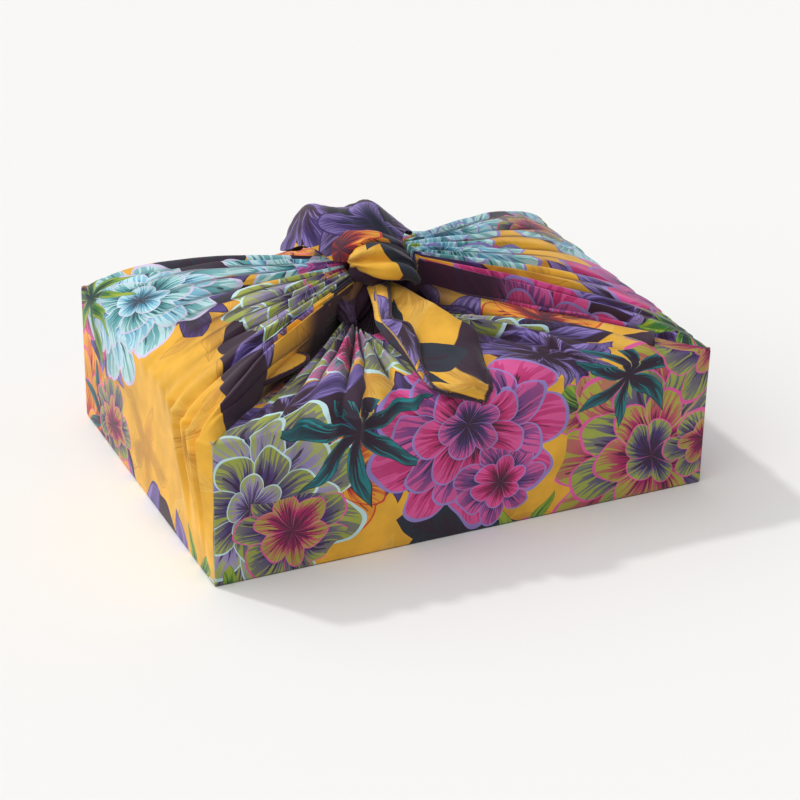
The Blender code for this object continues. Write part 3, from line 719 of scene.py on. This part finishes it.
def flank_grid(sizes, crest, foot, bulge, deep_start):
    """Points of one flank, ring by ring, their places on the flat cloth and how much painted shade it gets
    there.
    """
    columns = [Column(crest, foot, share, bulge) for share in flank_shares(bulge > 0.0)]
    side = crest.side
    points, flats, darks = [], [], []
    for inset, height in wall_rows(sizes):
        ring = [column.wall(height, inset) for column in columns]
        points.append(ring)
        flats.append([flat_place(side, side.reach - inset + height, point.dot(side.along))
                      for point in ring])
        darks.append([0.0] * len(ring))
    half_width = abs(foot.place - crest.place)
    way = 1 if foot.place > crest.place else -1
    run = 0.0
    before = None
    for step in range(FAN_STEPS + HEART_STEPS + 1):
        reach = min(step / FAN_STEPS, 1.0)
        ring = [column.fan(reach) for column in columns]
        inner = max(step - FAN_STEPS, 0) / HEART_STEPS
        if inner:
            ring = [heart_point(point, inner) for point in ring]
        run += (ring[0] - before).length if before else 0.0
        before = ring[0]
        points.append(ring)
        spread = 1.0 + SPREAD * reach
        arcs = [0.0]
        for near, far in zip(ring, ring[1:]):
            arcs.append(arcs[-1] + (far - near).length)
        hidden = 0.0 if bulge else max(half_width * spread - arcs[-1], 0.0)
        row = []
        for column, arc in zip(columns, arcs):
            tucked = hidden * smooth_step((column.share - 0.75) / 0.25)
            across = crest.place * spread + way * (arc + tucked)
            row.append(flat_place(side, side.reach + sizes.height + run, across))
        flats.append(row)
        # Painted shade: the gutters' flanks darken towards the knot, the valleys' feet towards their ties,
        # and the heart all over
        near_knot = smooth_step((reach - deep_start) / DEEP_FADE) if bulge else 0.0
        at_knot = smooth_step((reach - KNOT_REACH[0]) / KNOT_REACH[1])
        in_heart = smooth_step(3.0 * inner)
        shades = [gutter_painted_shade(share, near_knot, at_knot) if bulge else valley_painted_shade(share, reach)
                  for share in flank_shares(bulge > 0.0)]
        darks.append([DEEP_SHADE * max(shade, in_heart) for shade in shades])
    return points, flats, darks


def flat_place(side, out, across):
    """The place on the flat cloth, so far out from its middle on a side and so far along it."""
    place = side.outward * out + side.along * across
    return place.x, place.y


def heart_point(point, share):
    """Part of the way from the ties to the small ring where the four ears meet."""
    away = point - HEART
    away.z = 0.0
    ring = HEART + away.normalized() * HEART_RADIUS
    inner = mix(point, ring, smooth_step(share))
    inner.z -= HEART_SAG * math.sin(math.pi * share)
    return inner


def finish_sheet(mesh, name, flats, darks):
    """Makes an object of a bmesh, with its flat-cloth UV map and its share of the dark aubergine: the hem's
    own colour, and painted shade in hollows, folds and the knot.
    """
    uv = mesh.loops.layers.uv.new("FlatCloth")
    for face in mesh.faces:
        face.smooth = True
        for loop in face.loops:
            loop[uv].uv = flats[loop.vert.index]
    data = bpy.data.meshes.new(name)
    mesh.to_mesh(data)
    mesh.free()
    # The dark share holds both the hems' own colour and painted shade
    attribute = data.attributes.new("dark", "FLOAT", "POINT")
    for index, value in enumerate(darks):
        attribute.data[index].value = value
    made = bpy.data.objects.new(name, data)
    bpy.context.scene.collection.objects.link(made)
    made.data.materials.append(printed_cotton())
    return made


def join_rows(mesh, rows, closed=False):
    """Faces between neighbouring rows of vertices, all the way round where the rows are closed."""
    count = len(rows[0])
    for low, high in zip(rows, rows[1:]):
        for index in range(count if closed else count - 1):
            after = (index + 1) % count
            mesh.faces.new((low[index], low[after], high[after], high[index]))


def apply_modifiers(piece):
    bpy.ops.object.select_all(action="DESELECT")
    piece.select_set(True)
    bpy.context.view_layer.objects.active = piece
    for modifier in list(piece.modifiers):
        bpy.ops.object.modifier_apply(modifier=modifier.name)


def add_shell(piece, thickness, offset, thick_part=None):
    """Gives a sheet the cloth's thickness, or that of its rolled hem where it has one."""
    shell = piece.modifiers.new("Cloth", "SOLIDIFY")
    shell.thickness = thickness
    shell.offset = offset
    if thick_part:
        shell.vertex_group = thick_part
        shell.thickness_vertex_group = PLAIN_SHARE
    apply_modifiers(piece)


def build_cloth_body(sizes):
    """The skin: base, walls and pleated ears up to the knot, as one thin sheet."""
    mesh = bmesh.new()
    flats, shades = [], []
    rings = None
    for crest, foot, way, bulge, deep_start in flanks_of_the_skin(sizes):
        points, places, darks = flank_grid(sizes, crest, foot, bulge, deep_start)
        if rings is None:
            rings = [[] for _ in points]
        for ring, line, place, dark in zip(rings, points, places, darks):
            pairs = list(zip(line, place, dark))
            if way < 0:
                pairs.reverse()
            if ring and (ring[-1][0] - pairs[0][0]).length < 1e-7:
                pairs = pairs[1:]
            ring += pairs
    for ring in rings:
        if (ring[0][0] - ring[-1][0]).length < 1e-7:
            ring.pop()
    loops = []
    for ring in rings:
        loops.append([mesh.verts.new(point) for point, _, _ in ring])
        flats += [place for _, place, _ in ring]
        shades += [dark for _, _, dark in ring]
    mesh.verts.index_update()
    join_rows(mesh, loops, closed=True)
    mesh.faces.new(loops[0][::-1])
    mesh.faces.new(loops[-1])
    mesh.normal_update()
    ruffle(mesh, sizes)
    body = finish_sheet(mesh, "cloth_body", flats, shades)
    add_shell(body, sizes.cloth, -1.0)
    return body


def ruffle(mesh, sizes):
    """Moves the cloth a little along its normals, so that no face is quite flat."""
    for vertex in mesh.verts:
        if vertex.co.z < FOOT_RADIUS:
            continue
        place = vertex.co
        broad = noise.noise(place * RUFFLES)
        drawn = noise.noise(Vector(a * b for a, b in zip(place, DRAWN_RUFFLES)))
        lift = smooth_step(place.z / RUFFLE_FADE)
        vertex.co = place + vertex.normal * (RUFFLE_DEPTH * broad + DRAWN_DEPTH * drawn) * lift


def edge_dense(share):
    """Moves places, 0 to 1, towards both edges, where the narrow hem needs finer faces."""
    return share - EDGE_DENSITY * math.sin(2 * math.pi * share) / (2 * math.pi)


def lay_net(sheet):
    """The points of a loose end, row by row, on smooth curves through its net."""
    rows = [[Vector(row[at:at + 3]) * MM for at in range(0, len(row), 3)] for row in sheet.net]
    down, across = sheet.steps
    grid = []
    for row_step in range(down + 1):
        columns = [spline([row[column] for row in rows], row_step / down) for column in range(len(rows[0]))]
        grid.append([spline(columns, edge_dense(step / across)) for step in range(across + 1)])
    return grid


def running_lengths(points):
    """The length of the way along these points, up to each of them."""
    lengths = [0.0]
    for near, far in zip(points, points[1:]):
        lengths.append(lengths[-1] + (far - near).length)
    return lengths


def sheet_from_net(sheet, sizes):
    """A loose end: a thin sheet through a net of points, thicker along its rolled hems."""
    grid = lay_net(sheet)
    middle = sheet.steps[1] // 2
    runs = running_lengths([row[middle] for row in grid])
    flats, darks, edges = [], [], []
    for row, out in zip(grid, runs):
        arcs = running_lengths(row)
        way = out / runs[-1]
        root = 1.0 - smooth_step(way / sheet.dark_root) if sheet.dark_root else 0.0
        for step, arc in enumerate(arcs):
            aside, away = sheet.flap[1] if sheet.flap and step < sheet.flap[0] else (0.0, 0.0)
            flats.append((sheet.origin[0] + arc - arcs[middle] + aside, sheet.origin[1] + out + away))
            gaps = [sizes.hem * 2]
            if "end" in sheet.hems:
                gaps.append(runs[-1] - out)
            if way >= sheet.hems.get("left", NO_HEM):
                gaps.append(arc)
            if way >= sheet.hems.get("right", NO_HEM):
                gaps.append(arcs[-1] - arc)
            hemmed = 1.0 if min(gaps) < sizes.hem else 0.0
            edges.append(hemmed)
            # The larger of the hem's own aubergine and the painted shade near the root, where the cloth
            # leaves a hollow
            darks.append(max(hemmed, DEEP_SHADE * root))
    mesh = bmesh.new()
    verts = [[mesh.verts.new(point) for point in row] for row in grid]
    mesh.verts.index_update()
    join_rows(mesh, verts)
    mesh.normal_update()
    for vertex, flat in zip(mesh.verts, flats):
        creases = noise.noise(Vector((flat[0] * CREASES_ACROSS, flat[1] * CREASES_ALONG, 0.0)))
        dents = noise.noise(vertex.co * DENTS)
        vertex.co += vertex.normal * (DENT_DEPTH * dents + sheet.creased * creases) * MM
    piece = finish_sheet(mesh, sheet.name, flats, darks)
    rolled = piece.vertex_groups.new(name="hem")
    for index, hemmed in enumerate(edges):
        rolled.add([index], hemmed, "REPLACE")
    add_shell(piece, HEM_THICKNESS, 0.0, "hem")
    return piece


def gathered_bundle(name):
    """The gathered bundle of cloth, laid along its stations, with soft folds along it."""
    points = [Vector(station) * MM for station in BUNDLE]
    centres = [Vector(spline(points, step / BUNDLE_STEPS)[:3]) for step in range(BUNDLE_STEPS + 1)]
    mesh = bmesh.new()
    flats, rings = [], []
    run = 0.0
    for index, centre in enumerate(centres):
        before, after = centres[max(index - 1, 0)], centres[min(index + 1, BUNDLE_STEPS)]
        heading = (after - before).normalized()
        lift = centre - KNOT
        lift = (lift - heading * lift.dot(heading)).normalized()
        across = heading.cross(lift)
        wide, thick = spline(points, index / BUNDLE_STEPS)[3:5]
        run += (centre - before).length if index else 0.0
        twist = BUNDLE_TWIST * math.sin(run * BUNDLE_WAVES)
        ring = []
        for corner in range(BUNDLE_SIDES):
            angle = 2 * math.pi * corner / BUNDLE_SIDES
            fold = 1.0 + BUNDLE_FOLD * math.cos(BUNDLE_FOLDS * angle + twist)
            fold += BUNDLE_DENT * wander(corner * 0.45, run * 60, 3.0)
            offset = across * math.cos(angle) * wide + lift * math.sin(angle) * thick
            ring.append(mesh.verts.new(centre + offset * fold / 2))
            flats.append((BUNDLE_ORIGIN[0] + wide * angle * BUNDLE_GATHER, BUNDLE_ORIGIN[1] + run))
        rings.append(ring)
    mesh.verts.index_update()
    join_rows(mesh, rings, closed=True)
    mesh.faces.new(rings[0][::-1])
    mesh.faces.new(rings[-1])
    bmesh.ops.recalc_face_normals(mesh, faces=mesh.faces)
    # The whole bundle gets painted shade in the dark aubergine, for it lies in the knot's shade
    return finish_sheet(mesh, name, flats, [BUNDLE_SHADE] * len(flats))


def knot_core():
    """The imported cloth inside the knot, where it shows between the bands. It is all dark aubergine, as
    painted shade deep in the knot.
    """
    mesh = bmesh.new()
    bmesh.ops.create_icosphere(mesh, subdivisions=4, radius=1.0)
    mesh.verts.index_update()
    flats = []
    for vertex in mesh.verts:
        folded = 1.0 + CORE_FOLD * math.sin(9 * vertex.co.x + 4 * vertex.co.z)
        vertex.co = CORE + Vector(a * b for a, b in zip(vertex.co, KNOT_HALF)) * folded
        flats.append((CORE_ORIGIN[0] + vertex.co.x, CORE_ORIGIN[1] + vertex.co.z))
    return finish_sheet(mesh, "knot_core", flats, [1.0] * len(flats))


def add_node(tree, kind, links=None, **settings):
    """Adds a node with its settings, and gives each of its inputs a value or a link."""
    node = tree.nodes.new(kind)
    for name, value in settings.items():
        setattr(node, name, value)
    for socket, value in (links or {}).items():
        if isinstance(value, bpy.types.NodeSocket):
            tree.links.new(value, node.inputs[socket])
        else:
            node.inputs[socket].default_value = value
    return node


def petal_ring():
    """Node group: one ring of painted petals laid over the colour beneath it."""
    if "PetalRing" in bpy.data.node_groups:
        return bpy.data.node_groups["PetalRing"]
    tree = bpy.data.node_groups.new("PetalRing", "ShaderNodeTree")
    for name in ("Angle", "Radius", "Grain", "Petals", "Turn", "Reach", "Notch", "Point"):
        tree.interface.new_socket(name, in_out="INPUT", socket_type="NodeSocketFloat")
    for name in ("Under", "Body", "Deep", "Light", "Rim"):
        tree.interface.new_socket(name, in_out="INPUT", socket_type="NodeSocketColor")
    tree.interface.new_socket("Colour", in_out="OUTPUT", socket_type="NodeSocketColor")
    given = add_node(tree, "NodeGroupInput").outputs
    # The arithmetic of a petal: a name, an operation, and what goes in by name or as a number. Dark
    # strokes rise from its root and light ones come in from its tip, each as long as the grain there
    sums = [
        ("turn", "MULTIPLY_ADD", "Angle", "Petals", "Turn"),
        ("part", "FRACT", "turn"),
        ("off", "SUBTRACT", "part", 0.5),
        ("half", "ABSOLUTE", "off"),
        ("side", "MULTIPLY", "half", 2.0),
        ("bent", "POWER", "side", "Point"),
        ("cut", "MULTIPLY", "bent", "Notch"),
        ("edge", "SUBTRACT", 1.0, "cut"),
        ("reach", "MULTIPLY", "edge", "Reach"),
        ("along", "DIVIDE", "Radius", "reach"),
        ("inside", "LESS_THAN", "along", 1.0),
        ("deep_end", "MULTIPLY", "Grain", 0.85),
        ("deep", "LESS_THAN", "along", "deep_end"),
        ("light_end", "MULTIPLY_ADD", "Grain", 0.9, 0.42),
        ("light", "GREATER_THAN", "along", "light_end"),
        ("tip", "GREATER_THAN", "along", 0.96),
        ("flank", "GREATER_THAN", "side", 0.975),
        ("rim", "MAXIMUM", "tip", "flank"),
    ]
    known = {socket.name: socket for socket in given}
    for name, operation, *inputs in sums:
        values = {index: known.get(value, value) for index, value in enumerate(inputs)}
        known[name] = add_node(tree, "ShaderNodeMath", values, operation=operation).outputs[0]
    # The body itself darkens softly towards the root and lightens towards the tip
    root = add_node(tree, "ShaderNodeMapRange",
                    {"Value": known["along"], "From Min": 0.75, "From Max": 0.0, "To Max": 0.75})
    painted = add_node(tree, "ShaderNodeMix", {0: root.outputs[0], 6: given["Body"], 7: given["Deep"]},
                       data_type="RGBA").outputs[2]
    glow = add_node(tree, "ShaderNodeMapRange",
                    {"Value": known["along"], "From Min": 0.55, "To Max": 0.45})
    painted = add_node(tree, "ShaderNodeMix", {0: glow.outputs[0], 6: painted, 7: given["Light"]},
                       data_type="RGBA").outputs[2]
    for mask, paint, cover in (("deep", "Deep", 0.85), ("light", "Light", 0.75), ("rim", "Rim", 1.0)):
        laid_on = add_node(tree, "ShaderNodeMath", {0: known[mask], 1: cover}, operation="MULTIPLY")
        painted = add_node(tree, "ShaderNodeMix", {0: laid_on.outputs[0], 6: painted, 7: given[paint]},
                           data_type="RGBA").outputs[2]
    laid = add_node(tree, "ShaderNodeMix", {0: known["inside"], 6: given["Under"], 7: painted},
                    data_type="RGBA")
    add_node(tree, "NodeGroupOutput", {"Colour": laid.outputs[2]})
    return tree


def printed_layer(tree, flat, under, layer):
    """One layer of the print: figures of petal rings in jittered rows, over the colour beneath."""
    moved = add_node(tree, "ShaderNodeVectorMath", {0: flat, 1: (*layer.shift, 0.0)}, operation="ADD")
    cells = add_node(tree, "ShaderNodeTexVoronoi",
                     {"Vector": moved.outputs[0], "Scale": 1.0 / layer.size, "Randomness": layer.jitter},
                     voronoi_dimensions="2D")
    away = add_node(tree, "ShaderNodeVectorMath", {0: moved.outputs[0], 1: cells.outputs["Position"]},
                    operation="SUBTRACT")
    parts = add_node(tree, "ShaderNodeSeparateXYZ", {0: away.outputs[0]})
    chance = add_node(tree, "ShaderNodeSeparateColor", {0: cells.outputs["Color"]})
    length = add_node(tree, "ShaderNodeVectorMath", {0: away.outputs[0]}, operation="LENGTH")
    angle = add_node(tree, "ShaderNodeMath", {0: parts.outputs["Y"], 1: parts.outputs["X"]},
                     operation="ARCTAN2")
    turned = add_node(tree, "ShaderNodeMath",
                      {0: angle.outputs[0], 1: 0.5 / math.pi, 2: chance.outputs["Green"]},
                      operation="MULTIPLY_ADD")
    size = add_node(tree, "ShaderNodeMath",
                    {0: chance.outputs["Blue"], 1: FIGURE_GROWTH * layer.swell * layer.size,
                     2: SMALLEST_FIGURE * layer.swell * layer.size}, operation="MULTIPLY_ADD")
    radius = add_node(tree, "ShaderNodeMath", {0: length.outputs["Value"], 1: size.outputs[0]},
                      operation="DIVIDE")
    centre = add_node(tree, "ShaderNodeVectorMath", {0: cells.outputs["Position"], 1: (*layer.shift, 0.0)},
                      operation="SUBTRACT")
    distance = add_node(tree, "ShaderNodeVectorMath", {0: centre.outputs[0]}, operation="LENGTH")
    beyond = add_node(tree, "ShaderNodeMath", {0: distance.outputs["Value"], 1: layer.far},
                      operation="GREATER_THAN")
    from_quiet = add_node(tree, "ShaderNodeVectorMath", {0: centre.outputs[0], 1: QUIET_PLACE},
                          operation="DISTANCE")
    quiet = add_node(tree, "ShaderNodeMath",
                     {0: from_quiet.outputs["Value"], 1: layer.quiet * QUIET_RADIUS}, operation="LESS_THAN")
    left_out = add_node(tree, "ShaderNodeMath", {0: beyond.outputs[0], 1: quiet.outputs[0]},
                        operation="MAXIMUM")
    missing = add_node(tree, "ShaderNodeMath", {0: chance.outputs["Green"], 1: layer.share},
                       operation="GREATER_THAN")
    absent = add_node(tree, "ShaderNodeMath", {0: missing.outputs[0], 1: left_out.outputs[0]},
                      operation="MAXIMUM")
    shown = add_node(tree, "ShaderNodeMath", {0: absent.outputs[0], 1: 9.0, 2: radius.outputs[0]},
                     operation="MULTIPLY_ADD")
    # Brush strokes run along the petals: fine across them and long down them
    fine = add_node(tree, "ShaderNodeMath", {0: turned.outputs[0], 1: STROKES_AROUND}, operation="MULTIPLY")
    coarse = add_node(tree, "ShaderNodeMath", {0: radius.outputs[0], 1: STROKES_OUT}, operation="MULTIPLY")
    brush = add_node(tree, "ShaderNodeCombineXYZ",
                     {0: fine.outputs[0], 1: coarse.outputs[0], 2: chance.outputs["Red"]})
    grain = add_node(tree, "ShaderNodeTexNoise", {"Vector": brush.outputs[0], "Scale": 1.0, "Detail": 1.0},
                     noise_dimensions="3D")
    spread = add_node(tree, "ShaderNodeMapRange",
                      {"Value": grain.outputs[0], "From Min": 0.3, "From Max": 0.7})
    centred = add_node(tree, "ShaderNodeSeparateXYZ", {0: centre.outputs[0]})
    bearing = add_node(tree, "ShaderNodeMath", {0: centred.outputs["Y"], 1: centred.outputs["X"]},
                       operation="ARCTAN2")
    around = add_node(tree, "ShaderNodeMath",
                      {0: bearing.outputs[0], 1: 0.5 * layer.sector / math.pi, 2: 0.5},
                      operation="MULTIPLY_ADD")
    strayed = add_node(tree, "ShaderNodeMath",
                       {0: chance.outputs["Red"], 1: 1.0 - SECTOR_HOLD * layer.sector,
                        2: around.outputs[0]}, operation="MULTIPLY_ADD")
    pick = add_node(tree, "ShaderNodeMath", {0: strayed.outputs[0]}, operation="FRACT")
    colours = bpy.context.scene.furoshiki_colours
    picked = []
    for names in zip(*layer.palette):
        ramp = add_node(tree, "ShaderNodeValToRGB", {"Fac": pick.outputs[0]})
        ramp.color_ramp.interpolation = "CONSTANT"
        stops = ramp.color_ramp.elements
        while len(stops) < len(names):
            stops.new(0.5)
        for index in range(len(names)):
            stops[index].position = index / len(names)
        for stop, name in zip(stops, names):
            stop.color = (*getattr(colours, name), 1.0)
        picked.append(ramp.outputs["Color"])
    body, inner, deep, light, rim = picked
    for ring in layer.rings:
        under = add_node(tree, "ShaderNodeGroup", node_tree=petal_ring(), links={
            "Angle": turned.outputs[0], "Radius": shown.outputs[0], "Grain": spread.outputs[0],
            "Petals": ring.petals, "Turn": ring.turn, "Reach": ring.reach, "Notch": ring.notch,
            "Point": ring.point, "Under": under, "Body": inner if ring.inner else body,
            "Deep": deep, "Light": light, "Rim": rim}).outputs[0]
    return under


def printed_cotton():
    """Plain-woven cotton, screen printed: matt, with a little sheen and a fine even weave."""
    if "PrintedCotton" in bpy.data.materials:
        return bpy.data.materials["PrintedCotton"]
    sizes, colours = bpy.context.scene.furoshiki_sizes, bpy.context.scene.furoshiki_colours
    material = bpy.data.materials.new("PrintedCotton")
    material.use_nodes = True
    tree = material.node_tree
    shader = tree.nodes["Principled BSDF"]
    shader.inputs["Roughness"].default_value = 0.72
    shader.inputs["Specular IOR Level"].default_value = 0.35
    shader.inputs["Sheen Weight"].default_value = 0.18
    shader.inputs["Sheen Roughness"].default_value = 0.45
    flat = add_node(tree, "ShaderNodeUVMap", uv_map="FlatCloth").outputs["UV"]
    bend = add_node(tree, "ShaderNodeTexNoise", {"Vector": flat, "Scale": BEND_SCALE, "Detail": 1.5},
                    noise_dimensions="2D")
    centred = add_node(tree, "ShaderNodeVectorMath", {0: bend.outputs["Color"], 1: (0.5, 0.5, 0.5)},
                       operation="SUBTRACT")
    scaled = add_node(tree, "ShaderNodeVectorMath", {0: centred.outputs[0], "Scale": BEND_REACH},
                      operation="SCALE")
    drawn = add_node(tree, "ShaderNodeVectorMath", {0: flat, 1: scaled.outputs[0]}, operation="ADD")
    painted = add_node(tree, "ShaderNodeRGB")
    painted.outputs[0].default_value = (*colours.mustard, 1.0)
    painted = painted.outputs[0]
    # Broad dark patches lie between the flowers
    patch = add_node(tree, "ShaderNodeTexNoise",
                     {"Vector": drawn.outputs[0], "Scale": PATCH_SCALE, "Detail": 1.0},
                     noise_dimensions="2D")
    from_quiet = add_node(tree, "ShaderNodeVectorMath", {0: drawn.outputs[0], 1: QUIET_PLACE},
                          operation="DISTANCE")
    calmed = add_node(tree, "ShaderNodeMapRange",
                      {"Value": from_quiet.outputs["Value"], "From Min": QUIET_RADIUS,
                       "From Max": 0.5 * QUIET_RADIUS, "To Max": 0.3})
    patched = add_node(tree, "ShaderNodeMath", {0: patch.outputs[0], 1: calmed.outputs[0]},
                       operation="SUBTRACT")
    covered = add_node(tree, "ShaderNodeMapRange",
                       {"Value": patched.outputs[0], "From Min": PATCH_START,
                        "From Max": PATCH_START + 0.005})
    for layer in LAYERS:
        painted = printed_layer(tree, drawn.outputs[0], painted, layer)
        if layer.name == "Ground leaves":
            painted = add_node(tree, "ShaderNodeMix",
                               {0: covered.outputs[0], 6: painted, 7: (*colours.aubergine, 1.0)},
                               data_type="RGBA").outputs[2]
    # The printed colour is a little uneven, as brushed paint is
    cloudy = add_node(tree, "ShaderNodeTexNoise", {"Vector": flat, "Scale": CLOUD_SCALE, "Detail": 4.0},
                      noise_dimensions="2D")
    toned = add_node(tree, "ShaderNodeMapRange",
                     {"Value": cloudy.outputs[0], "From Min": 0.3, "From Max": 0.7,
                      "To Min": CLOUD_TONES[0], "To Max": CLOUD_TONES[1]})
    painted = add_node(tree, "ShaderNodeMix", {0: 1.0, 6: painted, 7: toned.outputs[0]},
                       data_type="RGBA", blend_type="MULTIPLY").outputs[2]
    # The dark share lays on the aubergine: the rolled hems' own colour, and painted shade in hollows,
    # folds, heart and knot
    hem = add_node(tree, "ShaderNodeAttribute", attribute_name="dark")
    hemmed = add_node(tree, "ShaderNodeMix",
                      {0: hem.outputs["Fac"], 6: painted, 7: (*colours.aubergine, 1.0)}, data_type="RGBA")
    tree.links.new(hemmed.outputs[2], shader.inputs["Base Color"])
    # Threads of a real cotton lie 0.3 mm apart, drawn at the weave size so that they just show
    thread = 2 * math.pi / sizes.weave
    rows = add_node(tree, "ShaderNodeVectorMath", {0: flat, "Scale": thread}, operation="SCALE")
    axes = add_node(tree, "ShaderNodeSeparateXYZ", {0: rows.outputs[0]})
    warp = add_node(tree, "ShaderNodeMath", {0: axes.outputs["X"]}, operation="SINE")
    weft = add_node(tree, "ShaderNodeMath", {0: axes.outputs["Y"]}, operation="SINE")
    weave = add_node(tree, "ShaderNodeMath", {0: warp.outputs[0], 1: weft.outputs[0]}, operation="MULTIPLY")
    bump = add_node(tree, "ShaderNodeBump",
                    {"Height": weave.outputs[0], "Strength": 0.25, "Distance": 0.0001})
    tree.links.new(bump.outputs["Normal"], shader.inputs["Normal"])
    return material


def dress(piece):
    """Hangs a piece of the cloth on the root, and hides the imported cloth that it stands in for."""
    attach(piece, "root")
    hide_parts(CAD_CLOTH)


def dress_one_layer(piece, wide, long):
    """Dresses a small piece. wide and long, its flat proportions, are not used."""
    surface = sum(face.area for face in piece.data.polygons) / 2
    dress(piece)


class FUROSHIKI_OT_cloth_body(bpy.types.Operator):
    """Make the cloth round the form, with its pleated ears"""

    bl_idname = "furoshiki.cloth_body"
    bl_label = "Cloth Body"

    def execute(self, context):
        body = build_cloth_body(context.scene.furoshiki_sizes)
        dress(body)
        return {"FINISHED"}


class FUROSHIKI_OT_knot(bpy.types.Operator):
    """Make the round knot on top and the bundle that rises to it from the front"""

    bl_idname = "furoshiki.knot"
    bl_label = "Knot and First Tie"

    def execute(self, context):
        for sheet in KNOT_SHEETS:
            dress_one_layer(sheet_from_net(sheet, context.scene.furoshiki_sizes), sheet.wide, sheet.long)
        dress_one_layer(gathered_bundle("first_tie"), 0.024, 0.032)
        dress_one_layer(knot_core(), 0.040, 0.080)
        return {"FINISHED"}


class FUROSHIKI_OT_loose_corners(bpy.types.Operator):
    """Make the four loose corners of the cloth"""

    bl_idname = "furoshiki.loose_corners"
    bl_label = "Loose Corners"

    def execute(self, context):
        for sheet in CORNER_SHEETS:
            dress_one_layer(sheet_from_net(sheet, context.scene.furoshiki_sizes), sheet.wide, sheet.long)
        return {"FINISHED"}


class FUROSHIKI_OT_stage(bpy.types.Operator):
    """Make the pale floor, the soft studio light and the camera"""

    bl_idname = "furoshiki.stage"
    bl_label = "Stage"

    def execute(self, context):
        bpy.ops.object.select_all(action="DESELECT")
        bpy.ops.mesh.primitive_plane_add(size=FLOOR_SIZE, location=(0.0, 0.0, 0.0))
        floor = context.object
        floor.name = "floor"
        # Pale matt paper, bright enough for the soft shadow to stand out on it
        paper = bpy.data.materials.new("PalePaper")
        paper.use_nodes = True
        shader = paper.node_tree.nodes["Principled BSDF"]
        shader.inputs["Base Color"].default_value = (*linear("#F4F3F1"), 1.0)
        shader.inputs["Roughness"].default_value = 0.9
        shader.inputs["Specular IOR Level"].default_value = 0.1
        floor.data.materials.append(paper)
        add_lights(context.scene)
        add_camera(context.scene)
        return {"FINISHED"}


def add_lights(scene):
    """A white room as fill, a low window behind on the left, and a soft box above on the left."""
    world = bpy.data.worlds.new("Studio")
    world.use_nodes = True
    background = world.node_tree.nodes["Background"]
    background.inputs["Color"].default_value = (1.0, 1.0, 1.0, 1.0)
    background.inputs["Strength"].default_value = ROOM_LIGHT
    scene.world = world
    for name, strength, angle, place in LAMPS:
        sun = bpy.data.lights.new(name, "SUN")
        sun.energy = strength
        sun.angle = math.radians(angle)
        lamp = bpy.data.objects.new(name, sun)
        lamp.rotation_mode = "QUATERNION"
        lamp.rotation_quaternion = Vector(place).to_track_quat("Z", "Y")
        scene.collection.objects.link(lamp)
    scene.view_settings.view_transform = "Standard"


def add_camera(scene):
    """The camera at the photograph's viewing angle."""
    azimuth, elevation = math.radians(CAMERA_AZIMUTH), math.radians(CAMERA_ELEVATION)
    back = Vector((math.sin(azimuth) * math.cos(elevation),
                   -math.cos(azimuth) * math.cos(elevation), math.sin(elevation)))
    right = (-back).cross(Vector((0, 0, 1))).normalized()
    upright = Matrix((right, right.cross(-back), back)).transposed()
    turned = upright @ Matrix.Rotation(math.radians(CAMERA_ROLL), 3, "Z")
    data = bpy.data.cameras.new("Camera")
    data.lens = CAMERA_LENS
    data.sensor_width = 36.0
    camera = bpy.data.objects.new("Camera", data)
    camera.matrix_world = Matrix.Translation(CAMERA_TARGET + back * CAMERA_DISTANCE) @ turned.to_4x4()
    scene.collection.objects.link(camera)
    scene.camera = camera


class FUROSHIKI_PT_panel(bpy.types.Panel):
    """Lists the pieces of the wrap in the order in which they are made"""

    bl_idname = "FUROSHIKI_PT_panel"
    bl_label = "Furoshiki Wrap"
    bl_space_type = "VIEW_3D"
    bl_region_type = "UI"
    bl_category = "Furoshiki"

    def draw(self, context):
        layout = self.layout
        for group in (context.scene.furoshiki_sizes, context.scene.furoshiki_colours):
            for name in group.bl_rna.properties.keys():
                if name not in ("rna_type", "name"):
                    layout.prop(group, name)
        for maker in OPERATORS:
            layout.operator(maker.bl_idname)


OPERATORS = (
    FUROSHIKI_OT_cloth_body,
    FUROSHIKI_OT_knot,
    FUROSHIKI_OT_loose_corners,
    FUROSHIKI_OT_stage,
)
CLASSES = (FUROSHIKI_PG_sizes, FUROSHIKI_PG_colours, *OPERATORS, FUROSHIKI_PT_panel)


def register():
    for part in CLASSES:
        bpy.utils.register_class(part)
    bpy.types.Scene.furoshiki_sizes = PointerProperty(type=FUROSHIKI_PG_sizes)
    bpy.types.Scene.furoshiki_colours = PointerProperty(type=FUROSHIKI_PG_colours)


def unregister():
    del bpy.types.Scene.furoshiki_colours
    del bpy.types.Scene.furoshiki_sizes
    for part in reversed(CLASSES):
        bpy.utils.unregister_class(part)


def main():
    register()
    bpy.ops.furoshiki.cloth_body()
    bpy.ops.furoshiki.knot()
    bpy.ops.furoshiki.loose_corners()
    bpy.ops.furoshiki.stage()


if __name__ == "__main__":
    main()
